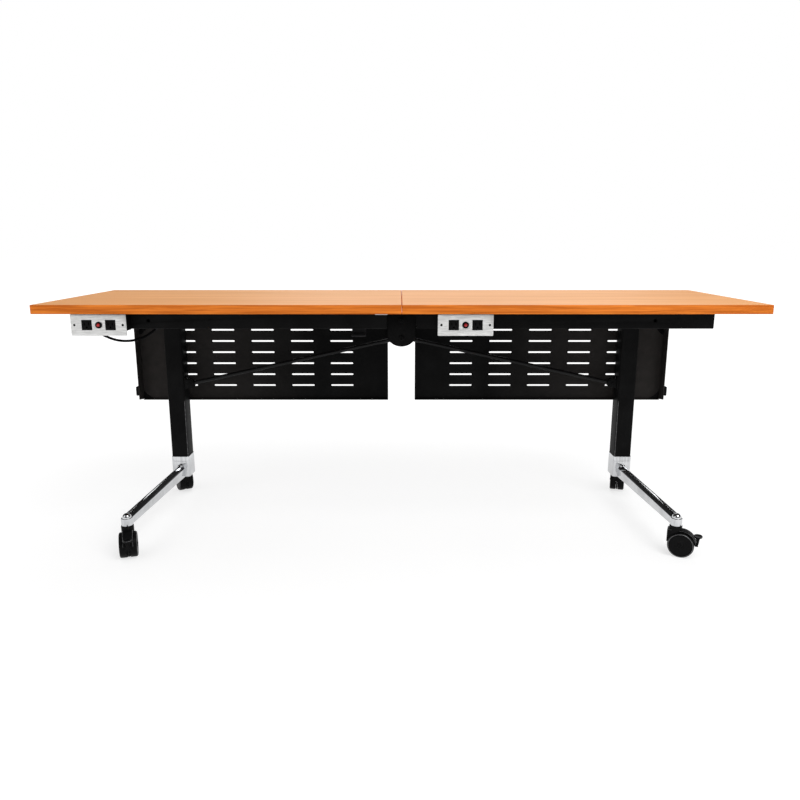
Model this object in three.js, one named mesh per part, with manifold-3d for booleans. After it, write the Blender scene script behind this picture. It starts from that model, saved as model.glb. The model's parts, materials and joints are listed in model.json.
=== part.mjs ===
// Flip top training table: two half tops on one frame, each of which tips up on a pin in its column head.
// Millimetres, +X along the table, -Y the user's side, +Z up, origin on the floor under the table's centre.
import * as THREE from "three";
import { mergeVertices } from "three/addons/utils/BufferGeometryUtils.js";
import Module from "manifold-3d";

const wasm = await Module();
wasm.setup();

// Table
const TABLE_LENGTH = 2026;
const TABLE_DEPTH = 600;
const TABLE_HEIGHT = 740;
const TOP_THICKNESS = 25;
const SEAM_GAP = 0.6;
const SEAT_GAP = 0.3;
const RUNNING_GAP = 0.3;
const OVERCUT = 1;
const ROUND_SIDES = 14;
const LARGE_ROUND_SIDES = 20;
const HEX_SIDES = 6;
const CORNER_STEPS = 3;
const DOME_STEPS = 3;
const HEAD_STEPS = 6;
const HOOD_STEPS = 9;
const HUB_STEPS = 14;
const SLOT_END_STEPS = 2;

// Columns and their heads
const COLUMN_END_INSET = 224;
const COLUMN_EDGE_INSET = 35;
const COLUMN_WIDTH = 59;
const COLUMN_DEPTH = 66;
const COLUMN_CORNER = 7;
const COLUMN_WALL = 2.5;
const HEAD_HEIGHT = 100;
const PLUG_LENGTH = 40;
const PIVOT_INSET = 20;
const PIVOT_DROP = 50;
const HEAD_RADIUS = 20;
const PIN_RADIUS = 6;
const STOP_INSET = 13;
const STOP_RADIUS = 4;

// Flip brackets and front rails
const ARM_THICKNESS = 6;
const ARM_HEIGHT = 20.7;
const ARM_SIDE_GAP = 1.5;
const ARM_TAIL = 40;
const ARM_EYE_RADIUS = 16;
const TIE_THICKNESS = 3;
const TIE_WIDTH = 40;
const PIN_OVERHANG = 4;
const RAIL_INNER_X = 43;
const RAIL_END_INSET = 123;
const RAIL_EDGE_INSET = 85;
const RAIL_DEPTH = 30;
const RAIL_HEIGHT = 50;
const RAIL_WALL = 2;
const RAIL_HOLE_INSET = 168;
const RAIL_HOLE_RISE = 23.3;
const RAIL_HOLE_RADIUS = 5;

// Feet
const SOCKET_WALL = 2;
const SOCKET_DEPTH = 67;
const SOCKET_BASE = 8;
const SOCKET_SINK = 1;
const FOOT_ARM_RISE = 36;
const FOOT_ARM_WIDTH = 30;
const FOOT_ARM_FACET = 8;
const FOOT_ARM_CHAMFER = 14.5;
const FRONT_STEM_OUT = 21;
const FRONT_STEM_INSET = 30;
const REAR_STEM_OUT = 14;
const REAR_STEM_BEHIND = 21;
const FOOT_END_RADIUS = 16.5;
const FOOT_END_RISE = 36;
const FOOT_END_SIDE = 22;
const REAR_STUB_WIDTH = 26;

// Casters
const WHEEL_RADIUS = 37.5;
const WHEEL_WIDTH = 22;
const WHEEL_EDGE = 2.5;
const CASTER_HEAD = 17;
const CASTER_TRAIL = 18;
const WEB_THICKNESS = 5;
const WEB_RADIUS = 33;
const WHEEL_SIDE_GAP = 0.7;
const AXLE_RADIUS = 4;
const AXLE_OVERHANG = 1;
const STEM_RADIUS = 5;
const STEM_LENGTH = 25;
const NECK_RADIUS = 18;
const NECK_RISE = 12;
const HOOD_CLEARANCE = 1.2;
const HOOD_THICKNESS = 2.3;
const HOOD_WIDTH = 30;
const HOOD_FROM_DEG = 15;
const HOOD_TO_DEG = 180;
const PEDAL_BARREL = 3.5;
const PEDAL_BARREL_WIDTH = 16;
const PEDAL_AHEAD = 4;
const PEDAL_RISE = 8.5;
const PEDAL_LEG_WIDTH = 10;
const PEDAL_LEG_THICKNESS = 6;
const PEDAL_PAD_RADIUS = 12;
const PEDAL_PAD_THICKNESS = 5;
const PEDAL_PAD_RISE = 18;
const LUG_FRONT = 2;
const LUG_BACK = 6;
const LUG_HEIGHT = 8;
const LUG_DROP = 1;
const SWIVEL_DEG = { front_left: 18, front_right: 65, rear_left: 211, rear_right: 163 };

// Rear beams, hub and struts
const BEAM_DEPTH = 30;
const BEAM_HEIGHT = 40;
const BEAM_ABOVE_COLUMN = 26;
const BEAM_WALL = 2;
const BEAM_INSET = 6;
const BEAM_BOLT_GAP = 1;
const HUB_WIDTH = 94;
const HUB_RADIUS = 56;
const HUB_SHOULDER = 59;
const HUB_ABOVE_BEAM = 2;
const HUB_PLATE = 5;
const HUB_BOLT_RADIUS = 5;
const HUB_BOLT_HEAD = 9;
const HUB_BOLT_HEAD_LENGTH = 6;
const HUB_BOLT_RISE = 36;
const HUB_BOLT_DROP = 26;
const STRUT_RADIUS = 6.9;
const STRUT_EYE_RADIUS = 11;
const STRUT_SPACING = 14.2;
const STRUT_FOOT_DROP = 219;
const STRUT_FOOT_INSET = 20;
const BRACKET_BASE = 4;
const BRACKET_HEIGHT = 44;
const BRACKET_EAR = 4.5;
const BRACKET_EAR_RADIUS = 16;
const BRACKET_PIN_RADIUS = 4.7;
const BRACKET_PIN_OVERHANG = 2;
const BRACKET_BASE_INSET = 5;

// Modesty panels
const PANEL_INNER_X = 48;
const PANEL_END_INSET = 81;
const PANEL_HEIGHT = 275;
const PANEL_BELOW_HEAD = 15;
const PANEL_BEHIND_COLUMN = 20;
const PANEL_SHEET = 2;
const PANEL_FLANGE = 48;
const PANEL_LIP = 15;
const FLANGE_CUT = 8;
const SLOT_LENGTH = 80;
const SLOT_WIDTH = 5.6;
const SLOT_COLUMNS = 5;
const SLOT_ROWS = 6;
const SLOT_INNER_MARGIN = 165;
const SLOT_OUTER_MARGIN = 158;
const SLOT_BOTTOM_MARGIN = 51;
const SLOT_TOP_MARGIN = 24;
const SPACER_WIDTH = 30;
const SPACER_BOTTOM_INSET = 70;
const SPACER_TOP_INSET = 25;
const BUMPER_SIZE = [11, 22, 32];
const BUMPER_FORWARD = 35;
const BUMPER_RISE = 21;

// Power modules
const LEFT_MODULE_INSET = 168;
const RIGHT_MODULE_X = 178;
const PLATE_WIDTH = 155;
const PLATE_HEIGHT = 60;
const PLATE_THICKNESS = 2;
const PLATE_TOP_GAP = 4;
const PLATE_EDGE_INSET = 38;
const HOUSING_INSET = 3;
const HOUSING_RISE = 13;
const HOUSING_DEPTH = 41;
const HOUSING_WALL = 2.5;
const HOUSING_ROOF = 9;
const OUTLET_WIDTH = 28;
const OUTLET_HEIGHT = 28;
const OUTLET_OFFSET = 33;
const OUTLET_PROUD = 1;
const OUTLET_DEPTH = 22;
const OUTLET_HOLE_DEPTH = 9;
const BLADE_OFFSET = 6;
const BLADE_WIDTH = 2.6;
const BLADE_HEIGHT = 9;
const BLADE_BOTTOM = -1;
const EARTH_RADIUS = 2.6;
const EARTH_DROP = 6.5;
const OUTLET_BAR = 4.4;
const COLLAR_RADIUS = 9;
const COLLAR_PROUD = 3;
const COLLAR_DEPTH = 14;
const BUTTON_RADIUS = 4.5;
const BUTTON_PROUD = 6;
const BUTTON_GAP = 0.4;

// Lead from the left module, up into the left rail
const LEAD_RADIUS = 3.5;
const LEAD_SIDES = 8;
const LEAD_STEPS = 24;
const LEAD_HOLE_GAP = 0.4;
const LEAD_POINTS = [
  [-853.7, -243.7, 672],
  [-850.9, -242.9, 662.6],
  [-845.7, -241.4, 654.5],
  [-838.4, -239.2, 648.3],
  [-830.3, -236.8, 643.2],
  [-821.7, -234.3, 639.1],
  [-812.8, -231.7, 635.8],
  [-803.7, -229, 633.4],
  [-794.3, -226.3, 631.9],
  [-784.9, -223.5, 631.3],
  [-775.5, -220.7, 631.5],
  [-766.1, -218, 632.6],
  [-756.8, -215.2, 634.5],
  [-747.7, -212.6, 637.2],
  [-738.9, -210, 640.8],
  [-730.5, -207.5, 645.2],
  [-722.5, -205.2, 650.5],
  [-715, -202.9, 656.4],
  [-707.9, -200.9, 663],
  [-701.9, -199.1, 670.5],
];

// Seam plate and release levers
const SEAM_PLATE_X = -40;
const SEAM_PLATE_WIDTH = 34;
const SEAM_PLATE_EDGE_INSET = 25;
const SEAM_PLATE_DEPTH = 35;
const SEAM_PLATE_THICKNESS = 3;
const SEAM_PLATE_LIP = 4;
const LEVER_X = 124;
const LEVER_WIDTH = 40;
const LEVER_BARREL = 4;
const LEVER_BEHIND_RAIL = 7;
const LEVER_ABOVE_RAIL_FOOT = 7;
const LEVER_REACH = 34;
const LEVER_DROP = 22;
const LEVER_THICKNESS = 4;
const LEVER_NECK = 4.8;
const LEVER_LAP = 1;
const LEVER_LUG_HEIGHT = 11;

// Places worked out from the sizes above
const END_X = TABLE_LENGTH / 2;
const EDGE_Y = TABLE_DEPTH / 2;
const UNDERSIDE = TABLE_HEIGHT - TOP_THICKNESS;
const SEAT_Z = UNDERSIDE - SEAT_GAP;
const COLUMN_X = END_X - COLUMN_END_INSET;
const COLUMN_INNER_X = COLUMN_X - COLUMN_WIDTH / 2;
const COLUMN_BACK_Y = EDGE_Y - COLUMN_EDGE_INSET;
const COLUMN_FRONT_Y = COLUMN_BACK_Y - COLUMN_DEPTH;
const COLUMN_Y = (COLUMN_FRONT_Y + COLUMN_BACK_Y) / 2;
const COLUMN_TOP = TABLE_HEIGHT - HEAD_HEIGHT;
const PIVOT_Y = COLUMN_BACK_Y - PIVOT_INSET;
const PIVOT_Z = TABLE_HEIGHT - PIVOT_DROP;
const STOP_Y = COLUMN_FRONT_Y + STOP_INSET;
const ARM_INNER = COLUMN_WIDTH / 2 + ARM_SIDE_GAP;
const ARM_OUTER = ARM_INNER + ARM_THICKNESS;
const RAIL_OUTER_X = END_X - RAIL_END_INSET;
const RAIL_FRONT_Y = RAIL_EDGE_INSET - EDGE_Y;
const RAIL_BACK_Y = RAIL_FRONT_Y + RAIL_DEPTH;
const RAIL_BOTTOM = SEAT_Z - RAIL_HEIGHT;
const RAIL_HOLE_X = RAIL_OUTER_X - RAIL_HOLE_INSET;
const RAIL_HOLE_Z = RAIL_BOTTOM + RAIL_HOLE_RISE;
const LEVER_Y = RAIL_BACK_Y + LEVER_BEHIND_RAIL;
const LEVER_Z = RAIL_BOTTOM + LEVER_ABOVE_RAIL_FOOT;
const CASTER_HEIGHT = 2 * WHEEL_RADIUS + CASTER_HEAD;
const HOOD_RADIUS = WHEEL_RADIUS + HOOD_CLEARANCE;
const HOOD_RIM = HOOD_RADIUS + HOOD_THICKNESS;
const WHEEL_INNER = WEB_THICKNESS / 2 + WHEEL_SIDE_GAP;
const WHEEL_OUTER = WHEEL_INNER + WHEEL_WIDTH;
const PEDAL_Y = -(CASTER_TRAIL + HOOD_RIM + PEDAL_AHEAD);
const PEDAL_Z = WHEEL_RADIUS + PEDAL_RISE;
const FRONT_STEM_X = COLUMN_X + FRONT_STEM_OUT;
const FRONT_STEM_Y = FRONT_STEM_INSET - EDGE_Y;
const REAR_STEM_X = COLUMN_X + REAR_STEM_OUT;
const REAR_STEM_Y = COLUMN_BACK_Y + REAR_STEM_BEHIND;
const FOOT_ARM_TOP = CASTER_HEIGHT + FOOT_ARM_RISE;
const SOCKET_FLOOR = CASTER_HEIGHT - SOCKET_SINK;
const SOCKET_BOTTOM = SOCKET_FLOOR - SOCKET_BASE;
const SOCKET_TOP = SOCKET_FLOOR + SOCKET_DEPTH;
const BEAM_TOP = COLUMN_TOP + BEAM_ABOVE_COLUMN;
const BEAM_FRONT_Y = COLUMN_FRONT_Y + BEAM_INSET;
const BEAM_BACK_Y = BEAM_FRONT_Y + BEAM_DEPTH;
const BEAM_END_X = HUB_BOLT_RADIUS + BEAM_BOLT_GAP;
const HUB_TOP = BEAM_TOP + HUB_ABOVE_BEAM;
const HUB_Z = HUB_TOP - HUB_SHOULDER;
const HUB_BOLT_UPPER_Z = HUB_Z + HUB_BOLT_RISE;
const HUB_BOLT_LOWER_Z = HUB_Z - HUB_BOLT_DROP;
const HUB_FRONT_Y = BEAM_FRONT_Y - SEAT_GAP - HUB_PLATE;
const HUB_BACK_Y = BEAM_BACK_Y + SEAT_GAP + HUB_PLATE;
const STRUT_FOOT_X = COLUMN_INNER_X - STRUT_FOOT_INSET;
const STRUT_FOOT_Z = COLUMN_TOP - STRUT_FOOT_DROP;
const PANEL_OUTER_X = END_X - PANEL_END_INSET;
const PANEL_TOP = COLUMN_TOP - PANEL_BELOW_HEAD;
const PANEL_BOTTOM = PANEL_TOP - PANEL_HEIGHT;
const PANEL_BACK_Y = COLUMN_BACK_Y + PANEL_BEHIND_COLUMN;
const MODULE_X = { left: LEFT_MODULE_INSET - END_X, right: RIGHT_MODULE_X };
const PLATE_BOTTOM = UNDERSIDE - PLATE_TOP_GAP - PLATE_HEIGHT;
const PLATE_MIDDLE = PLATE_BOTTOM + PLATE_HEIGHT / 2;
const PLATE_FRONT_Y = PLATE_EDGE_INSET - EDGE_Y;
const PLATE_BACK_Y = PLATE_FRONT_Y + PLATE_THICKNESS;
const HOUSING_FRONT_Y = PLATE_BACK_Y + SEAT_GAP;
const SEAM_PLATE_FRONT_Y = SEAM_PLATE_EDGE_INSET - EDGE_Y;

function finish(color, roughness, metalness) {
  return new THREE.MeshStandardMaterial({ color, roughness, metalness });
}

const WOOD = finish(0xd98a3d, 0.45, 0);
const BLACK_PAINT = finish(0x141416, 0.5, 0.2);
const CHROME = finish(0xd8dadd, 0.12, 1);
const STEEL = finish(0x9a9da2, 0.35, 1);
const BRUSHED = finish(0xd2d2cf, 0.35, 1);
const BLACK_PLASTIC = finish(0x101012, 0.55, 0);
const TYRE = finish(0x18181a, 0.75, 0);
const RED_PLASTIC = finish(0x8c1014, 0.35, 0);
const CABLE = finish(0x0c0c0d, 0.6, 0);

// A closed geometry as a solid, without the zero-area triangles at a lathe's poles.
function solid(geometry) {
  const loose = geometry.index ? geometry.toNonIndexed() : geometry;
  const bare = new THREE.BufferGeometry().setAttribute("position", loose.getAttribute("position"));
  const merged = mergeVertices(bare, 1e-4);
  const corners = merged.index.array;
  const kept = [];
  for (let i = 0; i < corners.length; i += 3) {
    const [a, b, c] = corners.slice(i, i + 3);
    if (a !== b && b !== c && c !== a) kept.push(a, b, c);
  }
  const vertProperties = merged.attributes.position.array;
  return new wasm.Manifold(new wasm.Mesh({ numProp: 3, vertProperties, triVerts: new Uint32Array(kept) }));
}

function mesh(name, shape, material) {
  const made = shape.getMesh();
  const geometry = new THREE.BufferGeometry();
  geometry.setAttribute("position", new THREE.BufferAttribute(made.vertProperties, 3));
  geometry.setIndex(new THREE.BufferAttribute(made.triVerts, 1));
  const piece = new THREE.Mesh(geometry, material);
  piece.name = name;
  return piece;
}

function join(first, ...others) {
  return others.reduce((whole, piece) => whole.add(piece), first);
}

function cut(whole, ...tools) {
  return tools.reduce((left, tool) => left.subtract(tool), whole);
}

// A range in either order, so that a mirrored piece can give its inner and outer limits.
const span = (a, b) => [Math.min(a, b), Math.max(a, b)];

// A range that runs past both ends of what it cuts.
const past = ([from, to]) => [from - OVERCUT, to + OVERCUT];

function block([x0, x1], [y0, y1], [z0, z1]) {
  const geometry = new THREE.BoxGeometry(x1 - x0, y1 - y0, z1 - z0);
  return solid(geometry.translate((x0 + x1) / 2, (y0 + y1) / 2, (z0 + z1) / 2));
}

// Round bars along each axis, centred on the other two coordinates.
function rodX(radius, [x0, x1], y, z, sides = ROUND_SIDES) {
  const geometry = new THREE.CylinderGeometry(radius, radius, x1 - x0, sides);
  return solid(geometry.rotateZ(-Math.PI / 2).translate((x0 + x1) / 2, y, z));
}

function rodY(radius, [y0, y1], x, z, sides = ROUND_SIDES) {
  const geometry = new THREE.CylinderGeometry(radius, radius, y1 - y0, sides);
  return solid(geometry.translate(x, (y0 + y1) / 2, z));
}

function rodZ(radius, [z0, z1], x, y, sides = ROUND_SIDES) {
  const geometry = new THREE.CylinderGeometry(radius, radius, z1 - z0, sides);
  return solid(geometry.rotateX(Math.PI / 2).translate(x, y, (z0 + z1) / 2));
}

// Outlines pushed along X (drawn in Y and Z), along Y (drawn in X and Z) and along Z (drawn in X and Y).
function pushX(points, [x0, x1]) {
  const options = { depth: x1 - x0, bevelEnabled: false };
  const geometry = new THREE.ExtrudeGeometry(new THREE.Shape(points), options);
  const placed = new THREE.Matrix4().set(0, 0, 1, x0, 1, 0, 0, 0, 0, 1, 0, 0, 0, 0, 0, 1);
  return solid(geometry.applyMatrix4(placed));
}

function pushY(points, [y0, y1]) {
  const options = { depth: y1 - y0, bevelEnabled: false };
  const geometry = new THREE.ExtrudeGeometry(new THREE.Shape(points), options);
  const placed = new THREE.Matrix4().set(1, 0, 0, 0, 0, 0, -1, y1, 0, 1, 0, 0, 0, 0, 0, 1);
  return solid(geometry.applyMatrix4(placed));
}

function pushZ(points, [z0, z1]) {
  const options = { depth: z1 - z0, bevelEnabled: false };
  const geometry = new THREE.ExtrudeGeometry(new THREE.Shape(points), options);
  return solid(geometry.translate(0, 0, z0));
}

const point = (u, v) => new THREE.Vector2(u, v);

function arc(u, v, radius, fromDeg, toDeg, steps) {
  const points = [];
  for (let i = 0; i <= steps; i++) {
    const angle = THREE.MathUtils.degToRad(fromDeg + ((toDeg - fromDeg) * i) / steps);
    points.push(point(u + radius * Math.cos(angle), v + radius * Math.sin(angle)));
  }
  return points;
}

function roundedRectangle(u, v, width, depth, corner, steps = CORNER_STEPS) {
  const right = u + width / 2 - corner;
  const left = u - width / 2 + corner;
  const far = v + depth / 2 - corner;
  const near = v - depth / 2 + corner;
  return [
    ...arc(right, far, corner, 0, 90, steps),
    ...arc(left, far, corner, 90, 180, steps),
    ...arc(left, near, corner, 180, 270, steps),
    ...arc(right, near, corner, 270, 360, steps),
  ];
}

// A profile of [radius, height] pairs turned about Z.
function turned(profile, sides = ROUND_SIDES) {
  const points = profile.map(([radius, height]) => point(radius, height));
  return solid(new THREE.LatheGeometry(points, sides).rotateX(Math.PI / 2));
}

// A square tube along X, open at both ends.
function tubeX([x0, x1], [y0, y1], [z0, z1], wall) {
  const bore = block([x0 - OVERCUT, x1 + OVERCUT], [y0 + wall, y1 - wall], [z0 + wall, z1 - wall]);
  return cut(block([x0, x1], [y0, y1], [z0, z1]), bore);
}

// A round bar along the lead's route: the lead itself, or the room that it needs in what it passes through.
function leadSweep(radius) {
  const route = new THREE.CatmullRomCurve3(LEAD_POINTS.map((place) => new THREE.Vector3(...place)));
  const section = new THREE.Shape(arc(0, 0, radius, 0, 360, LEAD_SIDES).slice(0, -1));
  return solid(new THREE.ExtrudeGeometry(section, { steps: LEAD_STEPS, extrudePath: route }));
}

function topHalf(side) {
  const reach = span(side * (SEAM_GAP / 2), side * END_X);
  return block(reach, [-EDGE_Y, EDGE_Y], [UNDERSIDE, TABLE_HEIGHT]);
}

// The lever's barrel turns in a groove in a lug on the rail's back.
function frontRail(side) {
  const width = span(side * RAIL_INNER_X, side * RAIL_OUTER_X);
  const tube = tubeX(width, [RAIL_FRONT_Y, RAIL_BACK_Y], [RAIL_BOTTOM, SEAT_Z], RAIL_WALL);
  const lugWidth = span(side * LEVER_X - LEVER_WIDTH / 2, side * LEVER_X + LEVER_WIDTH / 2);
  const lugFoot = LEVER_Z + LEVER_LAP;
  const lugDepth = [RAIL_BACK_Y - RAIL_WALL / 2, LEVER_Y + LEVER_BARREL];
  const lug = block(lugWidth, lugDepth, [lugFoot, lugFoot + LEVER_LUG_HEIGHT]);
  const groove = rodX(LEVER_BARREL + RUNNING_GAP, past(lugWidth), LEVER_Y, LEVER_Z);
  const frontWall = past([RAIL_FRONT_Y, RAIL_FRONT_Y + RAIL_WALL]);
  const hole = rodY(RAIL_HOLE_RADIUS, frontWall, side * RAIL_HOLE_X, RAIL_HOLE_Z);
  const rail = cut(join(tube, lug), groove, hole);
  if (side > 0) return rail;
  return cut(rail, leadSweep(LEAD_RADIUS + LEAD_HOLE_GAP));
}

function releaseLever(side) {
  const width = span(side * LEVER_X - LEVER_WIDTH / 2, side * LEVER_X + LEVER_WIDTH / 2);
  const barrel = rodX(LEVER_BARREL, width, LEVER_Y, LEVER_Z);
  const heel = LEVER_Z - LEVER_DROP;
  const paddle = pushX(
    [
      point(LEVER_Y + LEVER_NECK / 2, LEVER_Z - LEVER_LAP),
      point(LEVER_Y - LEVER_NECK / 2, LEVER_Z - LEVER_LAP),
      point(LEVER_Y - LEVER_NECK / 2, heel),
      point(LEVER_Y - LEVER_REACH, heel - LEVER_THICKNESS),
      point(LEVER_Y - LEVER_REACH, heel - 2 * LEVER_THICKNESS),
      point(LEVER_Y + LEVER_NECK / 2, heel - LEVER_THICKNESS),
    ],
    width,
  );
  return join(barrel, paddle);
}

// Two arms that straddle the column head, with ties under the top.
function flipBracket(side) {
  const middle = side * COLUMN_X;
  const front = RAIL_BACK_Y + SEAT_GAP;
  const back = PIVOT_Y + ARM_TAIL;
  const pieces = [-1, 1].map((hand) => {
    const thickness = span(middle + hand * ARM_INNER, middle + hand * ARM_OUTER);
    const bar = block(thickness, [front, back], [SEAT_Z - ARM_HEIGHT, SEAT_Z]);
    const eye = rodX(ARM_EYE_RADIUS, thickness, PIVOT_Y, PIVOT_Z, LARGE_ROUND_SIDES);
    return join(bar, eye);
  });
  const reach = [middle - ARM_OUTER, middle + ARM_OUTER];
  const ties = [front + TIE_WIDTH / 2, COLUMN_Y].map((y) =>
    block(reach, [y - TIE_WIDTH / 2, y + TIE_WIDTH / 2], [SEAT_Z - TIE_THICKNESS, SEAT_Z]),
  );
  const bore = rodX(PIN_RADIUS + RUNNING_GAP, past(reach), PIVOT_Y, PIVOT_Z);
  return cut(join(...pieces, ...ties), bore);
}

function pivotPin(side) {
  const half = ARM_OUTER + PIN_OVERHANG;
  return rodX(PIN_RADIUS, [side * COLUMN_X - half, side * COLUMN_X + half], PIVOT_Y, PIVOT_Z);
}

// The head plugs into the column, holds the pin, and carries a stop under both arms.
function columnHead(side) {
  const middle = side * COLUMN_X;
  const half = COLUMN_WIDTH / 2;
  const bottom = COLUMN_TOP + SEAT_GAP;
  const outline = [
    point(COLUMN_FRONT_Y, bottom),
    point(PIVOT_Y + HEAD_RADIUS, bottom),
    ...arc(PIVOT_Y, PIVOT_Z, HEAD_RADIUS, 0, 90, HEAD_STEPS),
    point(COLUMN_FRONT_Y, PIVOT_Z + HEAD_RADIUS),
  ];
  const head = pushX(outline, [middle - half, middle + half]);
  const inset = 2 * (COLUMN_WALL + SEAT_GAP);
  const plugOutline = roundedRectangle(
    middle,
    COLUMN_Y,
    COLUMN_WIDTH - inset,
    COLUMN_DEPTH - inset,
    COLUMN_CORNER - COLUMN_WALL,
  );
  const plug = pushZ(plugOutline, [COLUMN_TOP - PLUG_LENGTH, bottom + OVERCUT]);
  const stopZ = SEAT_Z - ARM_HEIGHT - SEAT_GAP - STOP_RADIUS;
  const stop = rodX(STOP_RADIUS, [middle - ARM_OUTER, middle + ARM_OUTER], STOP_Y, stopZ);
  const bore = rodX(PIN_RADIUS + RUNNING_GAP, past([middle - half, middle + half]), PIVOT_Y, PIVOT_Z);
  return cut(join(head, plug, stop), bore);
}

function column(side) {
  const outside = roundedRectangle(side * COLUMN_X, COLUMN_Y, COLUMN_WIDTH, COLUMN_DEPTH, COLUMN_CORNER);
  const inside = roundedRectangle(
    side * COLUMN_X,
    COLUMN_Y,
    COLUMN_WIDTH - 2 * COLUMN_WALL,
    COLUMN_DEPTH - 2 * COLUMN_WALL,
    COLUMN_CORNER - COLUMN_WALL,
  );
  const bottom = SOCKET_FLOOR + SEAT_GAP;
  return cut(pushZ(outside, [bottom, COLUMN_TOP]), pushZ(inside, [bottom - OVERCUT, COLUMN_TOP + OVERCUT]));
}

// The rounded boss at each end of a foot, over a caster's stem.
function footEnd(x, y) {
  const dome = arc(0, 0, 1, 0, 90, DOME_STEPS).map(({ x: across, y: up }) => [
    FOOT_END_RADIUS * across,
    FOOT_END_SIDE + (FOOT_END_RISE - FOOT_END_SIDE) * up,
  ]);
  dome[dome.length - 1][0] = 0;
  return turned([[0, 0], [FOOT_END_RADIUS, 0], ...dome]).translate([x, y, CASTER_HEIGHT]);
}

// The front arm runs straight from the socket to the front stem, with a chamfered section.
function footArm() {
  const run = COLUMN_Y - FRONT_STEM_Y;
  const length = Math.hypot(run, FRONT_STEM_X - COLUMN_X);
  const flank = [
    point(-COLUMN_DEPTH / 2, SOCKET_BOTTOM),
    point(-COLUMN_DEPTH / 2, FOOT_ARM_TOP),
    point(-length, FOOT_ARM_TOP),
    point(-length, CASTER_HEIGHT),
    point(-length + FOOT_END_RADIUS, CASTER_HEIGHT),
  ].reverse();
  const half = FOOT_ARM_WIDTH / 2;
  const section = [
    point(-half, 0),
    point(half, 0),
    point(half, FOOT_ARM_TOP - FOOT_ARM_CHAMFER),
    point(FOOT_ARM_FACET / 2, FOOT_ARM_TOP),
    point(-FOOT_ARM_FACET / 2, FOOT_ARM_TOP),
    point(-half, FOOT_ARM_TOP - FOOT_ARM_CHAMFER),
  ];
  const arm = pushX(flank, [-half, half]).intersect(pushY(section, [-length - OVERCUT, 0]));
  const toeOut = THREE.MathUtils.radToDeg(Math.atan2(FRONT_STEM_X - COLUMN_X, run));
  return { arm, toeOut };
}

function foot(side) {
  const middle = side * COLUMN_X;
  const outside = roundedRectangle(
    middle,
    COLUMN_Y,
    COLUMN_WIDTH + 2 * SOCKET_WALL,
    COLUMN_DEPTH + 2 * SOCKET_WALL,
    COLUMN_CORNER + SOCKET_WALL,
  );
  const socket = pushZ(outside, [SOCKET_BOTTOM, SOCKET_TOP]);
  const { arm, toeOut } = footArm();
  const placedArm = arm.rotate([0, 0, side * toeOut]).translate([middle, COLUMN_Y, 0]);
  const rearX = side * REAR_STEM_X;
  const frontX = side * FRONT_STEM_X;
  const stub = block(
    [rearX - REAR_STUB_WIDTH / 2, rearX + REAR_STUB_WIDTH / 2],
    [COLUMN_BACK_Y, REAR_STEM_Y],
    [CASTER_HEIGHT, FOOT_ARM_TOP - FOOT_ARM_CHAMFER],
  );
  const whole = join(socket, placedArm, stub, footEnd(frontX, FRONT_STEM_Y), footEnd(rearX, REAR_STEM_Y));
  const pocket = pushZ(
    roundedRectangle(
      middle,
      COLUMN_Y,
      COLUMN_WIDTH + 2 * SEAT_GAP,
      COLUMN_DEPTH + 2 * SEAT_GAP,
      COLUMN_CORNER + SEAT_GAP,
    ),
    [SOCKET_FLOOR, SOCKET_TOP + OVERCUT],
  );
  const stemHole = [CASTER_HEIGHT - OVERCUT, CASTER_HEIGHT + STEM_LENGTH + OVERCUT];
  return cut(
    whole,
    pocket,
    rodZ(STEM_RADIUS + RUNNING_GAP, stemHole, frontX, FRONT_STEM_Y),
    rodZ(STEM_RADIUS + RUNNING_GAP, stemHole, rearX, REAR_STEM_Y),
  );
}

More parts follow.
